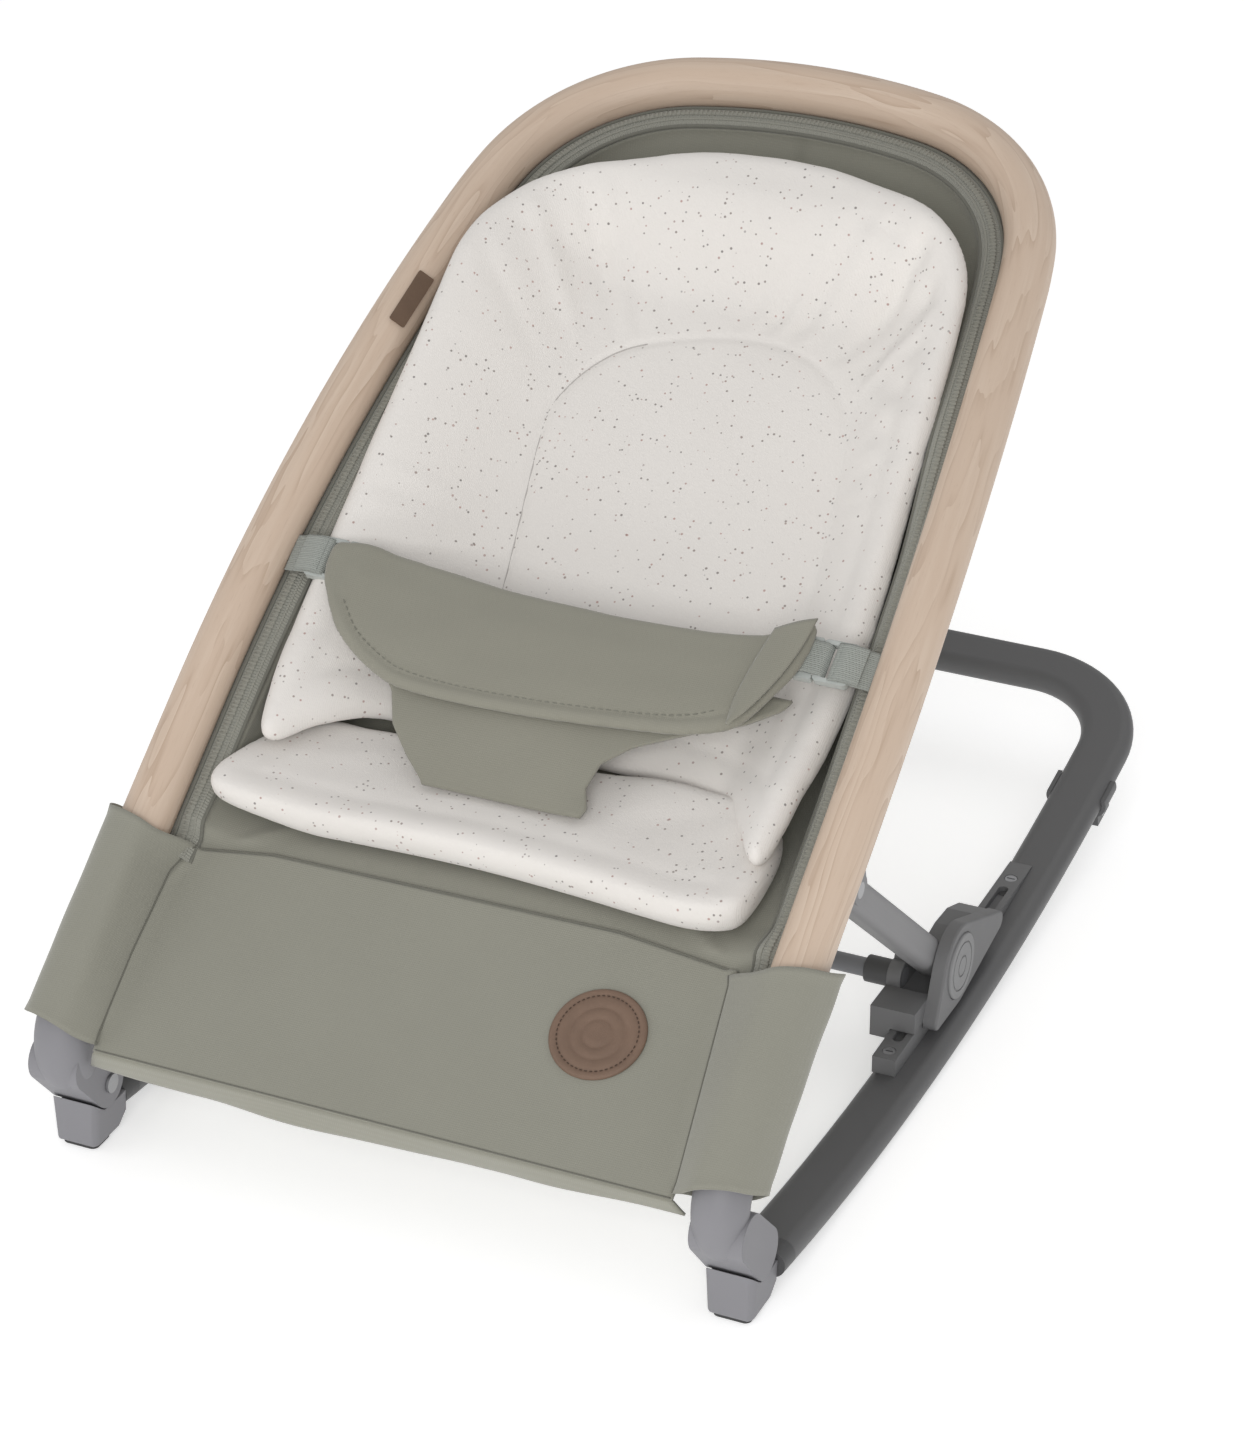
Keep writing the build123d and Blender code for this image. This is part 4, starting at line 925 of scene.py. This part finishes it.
def back_relief(x, v, d):
    """Wrinkles of the back pad: folds that fan out from the inner panel, its seam, the rolled rim."""
    out = tomb_distance(x, v)
    groove = bell(out, 2.4) * smooth((v - 30) / 30) * (0.45 + 0.55 * smooth((-x - 20) / 40))
    puff = (1 - np.exp(-np.clip(-out, 0, 60) / 9)) * 1.8
    valley = bell(d - 26, 6) * smooth((x + 200 - v) / 60 + smooth((x - 60) / 30) * 4)
    arc = np.arctan2(v - 150, x * 1.15)
    beat = np.sin(arc * 31 + 2.4 * np.sin(arc * 9 + 1)) + 0.5 * np.sin(arc * 53 + 2)
    fold = np.sign(beat) * np.abs(beat) ** 1.5
    reach = smooth((out - 2) / 16) * smooth((d - 6) / 22)
    head = 0.95 * smooth((v - 255) / 60)
    right = 0.9 * smooth((x - 92) / 20) * smooth((v - 150) / 90)
    left = 0.3 * smooth((-x - 90) / 20)
    where = (head + right + left) * smooth(0.55 + 0.9 * waves(arc * 3.1, d / 70, 61))
    corner = np.exp(-(((x - 132) / 22) ** 2 + ((v - 262) / 48) ** 2))
    diagonal = np.sin((x * 0.55 + v) / 5.2 + 1.4 * np.sin(x / 17)) * corner
    drape = waves(x / 30, v / 46, 3) * 0.8 + waves(x / 12, v / 18, 4) * 0.25
    return fold * 1.25 * where * reach + 1.1 * diagonal + drape + puff - 1.5 * groove - 1.6 * valley + 0.3


back_outline = spline(BACK_RIM, 300, closed=True)
pad = cushion("back_cushion", back_outline, back_height, 21, 11.5, BACK_PLANE, back_relief, 2.6)
place(pad, "jersey", nodes=["back_pad"])


def back_seam():
    """Thread in the groove of the back pad's inner panel, on its left side."""
    x, v = TOMB[2:78].T
    far_inside = np.full(len(x), 60.0)
    lift = back_height(x, v, 0) + back_relief(x, v, far_inside) + 0.2
    trim("back_seam", on_back(x, v, lift), circle(0.45 * MM, 6), "jersey_seam", up=(0, 0, 1))


back_seam()

SEAT_RIM = [
    (-177, 26), (-179, 10), (-175, -3), (-158, -8.5), (-126, -7.5), (-88, -5), (-40, -3), (10, -3),
    (60, -6), (104, -10), (138, -12), (156, -9), (166, 2), (167, 34), (162, 66), (148, 84), (110, 91),
    (0, 91), (-110, 88), (-148, 80), (-167, 60), (-174, 42),
]


def seat_height(x, v, _dist):
    """Upper face of the seat pad: left end turned up, back right corner raised under the wing."""
    left = 6.5 * smooth((-x - 96) / 80) * smooth((70 - v) / 60)
    right = 3.0 * smooth((x - 120) / 45)
    corner = 5.0 * smooth((x - 10) / 60) * smooth((152 - x) / 40) * smooth((v - 44) / 46)
    hollow = -3.0 * bell(x + 8, 92) * smooth((v - 4) / 40)
    return 25.0 + left + right + corner + hollow


def seat_thickness(x, _v):
    """Thickness of the seat pad, which thins out to its left end."""
    return 23.5 - 5.5 * smooth((-x - 104) / 70)


def seat_relief(x, v, d):
    """Wrinkles of the seat pad: the sunk line inside its rim, the piping on it, a soft drape."""
    valley = bell(d - 22, 6) * smooth((60 - v) / 30)
    piping = bell(d - 3.2, 1.3)
    drape = waves(x / 26, v / 30, 12) * 0.9 + waves(x / 10, v / 12, 13) * 0.3
    pull = np.sin(x / 9.0 + 1.5 * np.sin(v / 17.0)) * 0.7 * smooth((v - 40) / 25)
    return drape + pull - 0.9 * valley + 0.7 * piping + 0.4


seat_outline = spline(SEAT_RIM, 240, closed=True)
seat_cushion = cushion(
    "seat_cushion", seat_outline, seat_height, seat_thickness, 8.5, SEAT_PLANE, seat_relief, 2.6
)
place(seat_cushion, "jersey", nodes=["seat_pad"])


# -------------------------------------------------- front panel and sleeves

PANEL_TOP = ([-180, -129, -14, 93, 166], [139.6, 147.5, 149, 150, 142.5])
LEFT_SEAM = ([0, 60, 118, 141], [-184, -187, -187, -179])
RIGHT_SEAM = ([0, 141], [183, 167])
HEM_DROP = ([-184, -120, 60, 120, 190], [14, 17, 16, 12.5, 10])
HEM_ROWS = 11
SEAM_CORD = circle(0.6 * MM, 8)

# Along the leg from its end: where a sleeve starts and how long it is; where its seam does.
SLEEVE_LOW = -44.0
SLEEVE_LENGTH = 135.0
SLEEVE_SEAM = (-1, 142)


def seam_x(sign, along):
    """Where the sewn line between the panel and a sleeve runs."""
    return np.interp(along, *(LEFT_SEAM if sign < 0 else RIGHT_SEAM))


def panel_grid(s, t):
    """The panel's points between its two sewn side lines, from s across and t up it."""
    rough_along = t * 145
    edges = smooth(t * 9) * 3.0
    left, right = seam_x(-1, rough_along) - edges, seam_x(1, rough_along) + edges
    x = left + (right - left) * s
    along = t * np.interp(x, *PANEL_TOP)
    billow = np.sin(s * math.pi) * np.sin(t * math.pi)
    lift = -1.6 - 1.0 * billow + 0.45 * waves(x / 60, along / 45, 21) * np.sin(t * math.pi)
    lift = lift + 2.6 * smooth(1 - np.minimum(x - left, right - x) / 9) * smooth(t * 9 - 0.5)
    return x, on_panel(x, along, lift)


def hem_grid(s, x):
    """The hem's points, from its free edge up to the panel's foot, for the foot's x."""
    h = np.linspace(1, 0, HEM_ROWS + 1)[:-1, None]
    drop = np.interp(x, *HEM_DROP) + 0.7 * np.sin(s * 17 + 1)
    billow = 1.6 * np.sin(s * 11 + 0.6) + 0.7 * np.sin(s * 27 + 2.0)
    back = PANEL_FOOT[0] + 0.9 + (5.0 + billow) * h**1.3
    return world(x * (1 + 0.034 * h), back, PANEL_FOOT[1] - 1.6 - drop * h)


def front_panel():
    """Panel with a sewn line near its foot, below which the hem hangs in soft waves."""
    s = np.linspace(0, 1, 90)[None, :]
    t = np.linspace(0, 1, 56)[:, None]
    x, panel = panel_grid(s, t)
    low, high = np.linspace(-183, 182, 160), np.linspace(-178, 166, 160)
    foot_line = on_panel(low, 0.3, -0.75)
    top_line = on_panel(high, np.interp(high, *PANEL_TOP) - 0.3, -0.35)
    trims = [
        trim("panel_foot_seam", foot_line, circle(0.55 * MM, 8), "seam"),
        trim("panel_top_seam", top_line, SEAM_CORD, "seam"),
    ]
    cloth("front_panel_cloth", np.concatenate([hem_grid(s, x[:1]), panel], 0), 1.8 * MM, "canvas",
          nodes=["front_panel"])


front_panel()


def sleeve_loop(sign, t, points):
    """Section of a sleeve at t from 0 (low) to 1, as offsets in mm: inward and up from the leg."""
    in_seam = LEG_X - abs(float(seam_x(sign, SLEEVE_SEAM[0] + SLEEVE_SEAM[1] * t)))
    seam = np.array([in_seam, 0.5 - 13.0 * t])
    top = np.array([8.6, 19.4])
    wave = 0.5 * math.sin(7 * t + sign) + 0.3 * math.sin(17 * t)
    ring = [
        seam, seam + (top - seam) * 0.5 + np.array([0.9, 1.6]), top,
        (-5, 20.4), (-15.5, 16.2 + 0.3 * wave), (-22.6 - 0.4 * wave, 6.6), (-24.8 - wave, -1.5),
        (-20.9, -10.5), (-12, -17.6), (2, -20.4), (14, -18.4), seam + np.array([-3.0, -7.0]),
    ]
    flare = 1 + 0.035 * smooth((t - 0.95) / 0.05) + 0.03 * smooth((0.05 - t) / 0.05)
    return spline(ring, points, closed=True) * flare


def sleeve_grid(sign, rows, cols):
    """Points of a sleeve's outer side; each row is one slanted section round the leg."""
    a = rad(LEG_END_ANGLE)
    sections = []
    for t in np.linspace(0, 1, rows):
        inward, up_off = sleeve_loop(sign, t, cols).T
        centre = SLEEVE_LOW + SLEEVE_LENGTH * t - 7.0 * inward / 30.0 - 8.5 * smooth((up_off + 15.0) / 33.0)
        back = LEG_END[0] + centre * math.cos(a) - up_off * math.sin(a)
        up = LEG_END[1] + centre * math.sin(a) + up_off * math.cos(a)
        sections.append(world(sign * (LEG_X - inward), back, up))
    return np.stack(sections)


def sleeve(sign, name, node):
    """Sleeve round the leg, sewn to the panel along a line that shows."""
    rows, cols = 40, 72
    outer = sleeve_grid(sign, rows, cols)
    inner = outer + unit(outer.mean(1, keepdims=True) - outer) * 1.1 * MM
    n = rows * cols
    faces = grid_faces(rows, cols, wrap=True)
    faces += [tuple(reversed(f)) for f in grid_faces(rows, cols, n, wrap=True)]
    for row in (0, rows - 1):
        for j in range(cols):
            k = (j + 1) % cols
            faces.append((row * cols + j, row * cols + k, n + row * cols + k, n + row * cols + j))
    obj = new_object(name, np.concatenate([outer.reshape(-1, 3), inner.reshape(-1, 3)]), faces)
    place(obj, "canvas", nodes=[node])
    seam = trim(name + "_seam", outer[:, 0] + 0.4 * MM * UP, SEAM_CORD, "seam")


sleeve(1, "sleeve_right", "leg_sleeve_right")
sleeve(-1, "sleeve_left", "leg_sleeve_left")


# ------------------------------------------------------------------ the belt

BELT_RIM = [
    (-161, 28), (-150, 32.5), (-136, 34), (-118, 32.5), (-55, 26), (-8, 24), (50, 23.5), (100, 27),
    (128, 33), (147, 41), (151, 32), (149, 12), (142, -5), (124, -31), (98, -42.5), (69, -47),
    (8, -52.5), (-44, -54.5), (-85, -53), (-107, -46.5), (-132, -31), (-151, -8), (-161, 10),
]


def belt_height(x, _v, dist):
    """Upper face of the belt: a slight crown, with both ends turned up."""
    crown = 2.2 * smooth(dist / 26)
    ends = 5.5 * smooth((np.abs(x) - 118) / 26)
    return 9.0 + crown + ends


def belt_relief(x, v, d):
    """Wrinkles of the belt: the sewn line along its lower rim, and bunches at its ends."""
    line = bell(d - 8.5, 1.7) * smooth((-v + 4) / 10)
    bunch = np.sin(x / 6.5 + 2 * np.sin(v / 14)) * smooth((np.abs(x) - 118) / 30) * 0.5
    return waves(x / 40, v / 20, 41) * 0.6 + waves(x / 14, v / 9, 42) * 0.18 + bunch - 0.9 * line


belt_outline = spline(BELT_RIM, 220, closed=True)
belt = cushion(
    "waist_belt_cloth", belt_outline, belt_height, 8.5, 5.5, BELT_PLANE, belt_relief, 1.9, step=1.6
)
place(belt, "belt", nodes=["waist_belt"])


def belt_fold():
    """Turned-over right end of the belt: a narrow flap from the upper corner to the lower edge."""
    left = spline([(127, 31), (124, 16), (121, -2), (119, -20), (120, -35)], 24)
    right = spline([(151, 41), (148, 22), (141, -2), (132, -22), (122, -37)], 24)
    s = np.linspace(0, 1, 16)[None, :]
    x, v = (left[:, k : k + 1] + (right[:, k : k + 1] - left[:, k : k + 1]) * s for k in range(2))
    lift = 14.4 + 4.4 * np.sin(s * math.pi * 0.62) - 1.0 * s + 0.4 * waves(x / 14, v / 12, 45)
    cloth("belt_fold", on_belt(x, v, lift), 1.6 * MM, "belt")


belt_fold()


# The crotch piece's left and right edges: x against the length from its foot.
CROTCH_LEFT = (
    [-2, 1, 13, 30, 50, 58, 64, 70, 80, 97], [-56, -58, -71, -86, -94, -101, -114, -129, -138, -138],
)
CROTCH_RIGHT = ([-2, 4.5, 16.7, 33.6, 47, 63, 76, 90, 100], [47, 49.5, 44, 48, 63, 96, 124, 143, 148])
CROTCH_FOOT = 147.0
CROTCH_HEAD = 37.0


def crotch_piece():
    """Piece from under the belt down to the seat pad, with a strip along the belt's right underside."""
    a = rad(BELT_ANGLE)
    foot = np.array([CROTCH_FOOT, float(seat_up(CROTCH_FOOT)) + 28.4])
    head = np.array(BELT_ORIGIN) - CROTCH_HEAD * np.array([math.cos(a), math.sin(a)])
    run = math.dist(foot, head)
    slope = math.atan2(head[1] - foot[1], head[0] - foot[0])
    length = np.concatenate([np.linspace(-2, run, 26), run + np.linspace(0, 32, 12)[1:]])[:, None]
    left, right = np.interp(length, *CROTCH_LEFT), np.interp(length, *CROTCH_RIGHT)
    s = np.linspace(0, 1, 70)[None, :]
    x = left + (right - left) * s
    on_foot = np.minimum(length, run)
    beyond = np.maximum(length - run, 0)
    back = foot[0] + on_foot * math.cos(slope) + beyond * math.cos(a)
    up = foot[1] + on_foot * math.sin(slope) + beyond * math.sin(a)
    bulge = 2.6 * np.sin(np.clip(length / run, 0, 1) * math.pi) * (1 - 0.5 * (2 * s - 1) ** 2)
    bulge = bulge + 0.6 * waves(x / 24, length / 17, 51) - 1.2
    lobe = 3.0 * bell(s - 1, 0.12) * smooth((14 - length) / 14)
    lift = bulge + lobe - 1.5 * smooth(beyond / 6)
    grid = world(x, back - lift * math.sin(slope), up + lift * math.cos(slope))
    cloth("crotch_cloth", grid, 2.4 * MM, "belt", nodes=["crotch_strap"])


crotch_piece()

# Straps by name: points (x, lift) along each, half width, and the node it stands for.
BUCKLE_UP = 22.0
STRAPS = (
    ("webbing_strap", [(164.2, 1.0), (165.6, 5.9), (170, 6.0), (176, 4.4), (184, 3.0), (190.6, 1.6)], 12.4,
     "webbing"),
    ("webbing_tail", [(168.0, 6.6), (172, 7.4), (179, 6.2), (183.5, 5.0)], 12.2, None),
    ("belt_loop", [(140.0, 7.2), (146, 7.4), (153, 6.6), (158.5, 5.8), (161.5, 2.0)], 10.6, None),
)


def strap_piece(name, sign, line, half, nodes):
    """Strap along x through (x, lift) points, ribbed and softly bowed across."""
    line = spline(line, 30)
    across = np.linspace(-half, half, 14)[None, :]
    x, lift = line[:, :1], line[:, 1:]
    bow = 0.35 * np.cos(across / half * math.pi / 2)
    grid = on_belt(sign * x, BUCKLE_UP + across, lift + bow)
    flat = np.stack(np.broadcast_arrays(across * MM, x * MM, 0.0), -1)
    cloth(name, grid, 1.4 * MM, "strap", nodes=nodes, flat=flat)


for sign, side in ((1, "right"), (-1, "left")):
    for name, line, half, node in STRAPS:
        nodes = [f"{node}_{side}"] if node else []
        strap_piece(f"{name}_{side}", sign, line, half, nodes)


# ----------------------------------------------------------------- stitching


def stitches(name, line, up, key, length=3.2, gap=1.6, radius=0.38):
    """Row of short raised stitches along a line of points."""
    shape = ((0, 0.15), (0.12, 0.8), (0.5, 1.0), (0.88, 0.8), (1.0, 0.15))
    share, fullness = np.array(shape).T
    sides = 6
    ring = np.arange(sides) * TAU / sides
    count = len(shape) * sides
    verts, faces = [], []
    for start in np.arange(0, run_length(line)[-1] - length * MM, (length + gap) * MM):
        pts = at_lengths(line, start + share * length * MM)
        side = unit(np.cross(unit(pts[-1] - pts[0]), up))
        o = len(verts)
        for p, r in zip(pts, fullness * radius * MM):
            verts += [p + (side * math.cos(q) + up * math.sin(q)) * r for q in ring]
        faces += grid_faces(len(shape), sides, o, wrap=True)
        faces.append(tuple(range(o, o + sides)))
        faces.append(tuple(reversed(range(o + count - sides, o + count))))
    place(new_object(name, verts, faces), key)


def plane_normal(angle):
    return np.array([0, -math.sin(rad(angle)), math.cos(rad(angle))])


belt_x, belt_v = spline([
    (-139, -8), (-124, -25), (-101, -38.5), (-82, -44), (-44, -46), (8, -44), (66, -38.5), (94, -33),
    (112, -25),
], 120).T
stitch_lift = 10.6 + 5.0 * smooth((np.abs(belt_x) - 118) / 26)
stitches("belt_stitches", on_belt(belt_x, belt_v, stitch_lift), plane_normal(BELT_ANGLE), "thread")

# The patch's centre on the panel, and its section: radius and height of each ring.
PATCH_X, PATCH_V = 105, 85
PATCH_SECTION = np.array([
    (4, 1.5), (7.6, 1.5), (8.4, 1.0), (9.6, 1.0), (10.4, 1.5), (15, 1.5), (15.8, 1.0), (17.0, 1.0),
    (17.8, 1.5), (22.6, 1.5), (23.4, 1.1), (24.6, 1.1), (25.4, 1.5), (27.0, 1.5), (28.2, 1.1), (28.8, 0.1),
])


def patch_ring(radius, turns, height):
    """Points round the patch's centre; radius and height may be columns, for a ring each."""
    x, v = PATCH_X + radius * np.cos(turns), PATCH_V + radius * np.sin(turns)
    return on_panel(x, v, height)


def leather_patch():
    """Round leather patch: domed rim, sunk sewn line and a plain embossed ring."""
    n = 96
    turns = np.linspace(0, TAU, n, endpoint=False)
    radii, height = PATCH_SECTION[:, :1], PATCH_SECTION[:, 1:]
    rings = patch_ring(radii, turns, height - 0.6).reshape(-1, 3)
    middle = on_panel(float(PATCH_X), float(PATCH_V), 0.9)[None]
    verts = np.concatenate([rings, middle, patch_ring(radii[-1], turns, -1.0)])
    m = len(radii)
    first, under = (m - 1) * n, m * n + 1
    faces = grid_faces(m, n, wrap=True)
    faces += [(m * n, (j + 1) % n, j) for j in range(n)]
    faces += [(first + j, first + (j + 1) % n, under + (j + 1) % n, under + j) for j in range(n)]
    faces.append(tuple(under + j for j in reversed(range(n))))
    obj = new_object("leather_patch_round", verts, faces)
    place(obj, "leather", nodes=["leather_patch"])


leather_patch()
stitches("patch_stitches", patch_ring(24, np.linspace(0, TAU, 160), 0.75), plane_normal(PANEL_ANGLE),
         "thread_dark", length=2.0, gap=1.0, radius=0.34)


# ------------------------------------------------------- stage, light, camera


FLOOR_SIZE = 16.0
FLOOR_DROP = 0.0002
FLOOR_GLOW = 0.42
SKY_STRENGTH = 0.54
LIGHT_TARGET = (0, 0, 0.2)
# Area lights: where each stands, its size in metres and its power in watts.
LIGHTS = {
    "key": ((0.9, -2.9, 1.5), 1.5, 42),
    "fill": ((-2.2, -1.6, 1.1), 1.8, 9),
    "top": ((0.6, 1.6, 2.2), 1.8, 7),
}
CAMERA_TURN, CAMERA_TILT = 24.48, 28.34
CAMERA_PLACE = (1.00237, -1.89410, 1.48347)
SENSOR_WIDTH = 36
FOCAL_LENGTH = 111.8


def stage():
    """Pale floor and even sky."""
    corners = [(x * FLOOR_SIZE, y * FLOOR_SIZE, 0) for x, y in ((-1, -1), (1, -1), (1, 1), (-1, 1))]
    floor = new_object("floor", corners, [(0, 1, 2, 3)], soft=False)
    floor.location.z = -FLOOR_DROP
    m = Nodes("floor_pale", Roughness=0.9, Specular_IOR_Level=0.1)
    m.colour(m.mix(m.noise(m.object_coords(), 3, 2, 0.5), (0.90, 0.90, 0.90), (0.92, 0.92, 0.92)))
    m.shader.inputs["Emission Color"].default_value = (1, 1, 1, 1)
    m.shader.inputs["Emission Strength"].default_value = FLOOR_GLOW
    floor.data.materials.append(m.mat)
    world_data = bpy.data.worlds.new("studio")
    bpy.context.scene.world = world_data
    world_data.use_nodes = True
    sky = world_data.node_tree.nodes["Background"]
    sky.inputs["Color"].default_value = (1, 1, 1, 1)
    sky.inputs["Strength"].default_value = SKY_STRENGTH


def add_seen(name, data, location, forward):
    """Add a light or a camera that looks along a direction."""
    obj = bpy.data.objects.new(name, data)
    obj.location = location
    obj.rotation_euler = forward.to_track_quat("-Z", "Y").to_euler()
    bpy.context.scene.collection.objects.link(obj)
    return obj


def lights():
    for name, (location, size, power) in LIGHTS.items():
        light = bpy.data.lights.new(name, "AREA")
        light.size = size
        light.energy = power
        add_seen(name, light, location, Vector(LIGHT_TARGET) - Vector(location))


def camera():
    turn, tilt = rad(CAMERA_TURN), rad(CAMERA_TILT)
    level = math.cos(tilt)
    forward = Vector((-math.sin(turn) * level, math.cos(turn) * level, -math.sin(tilt)))
    data = bpy.data.cameras.new("camera")
    data.sensor_fit = "AUTO"
    data.sensor_width = SENSOR_WIDTH
    data.lens = FOCAL_LENGTH
    data.clip_start, data.clip_end = 0.1, 50
    x, y, z = CAMERA_PLACE
    bpy.context.scene.camera = add_seen("camera", data, (x, y - MID_BACK * MM, z), forward)


stage()
lights()
camera()
bpy.context.scene.view_settings.view_transform = "Standard"
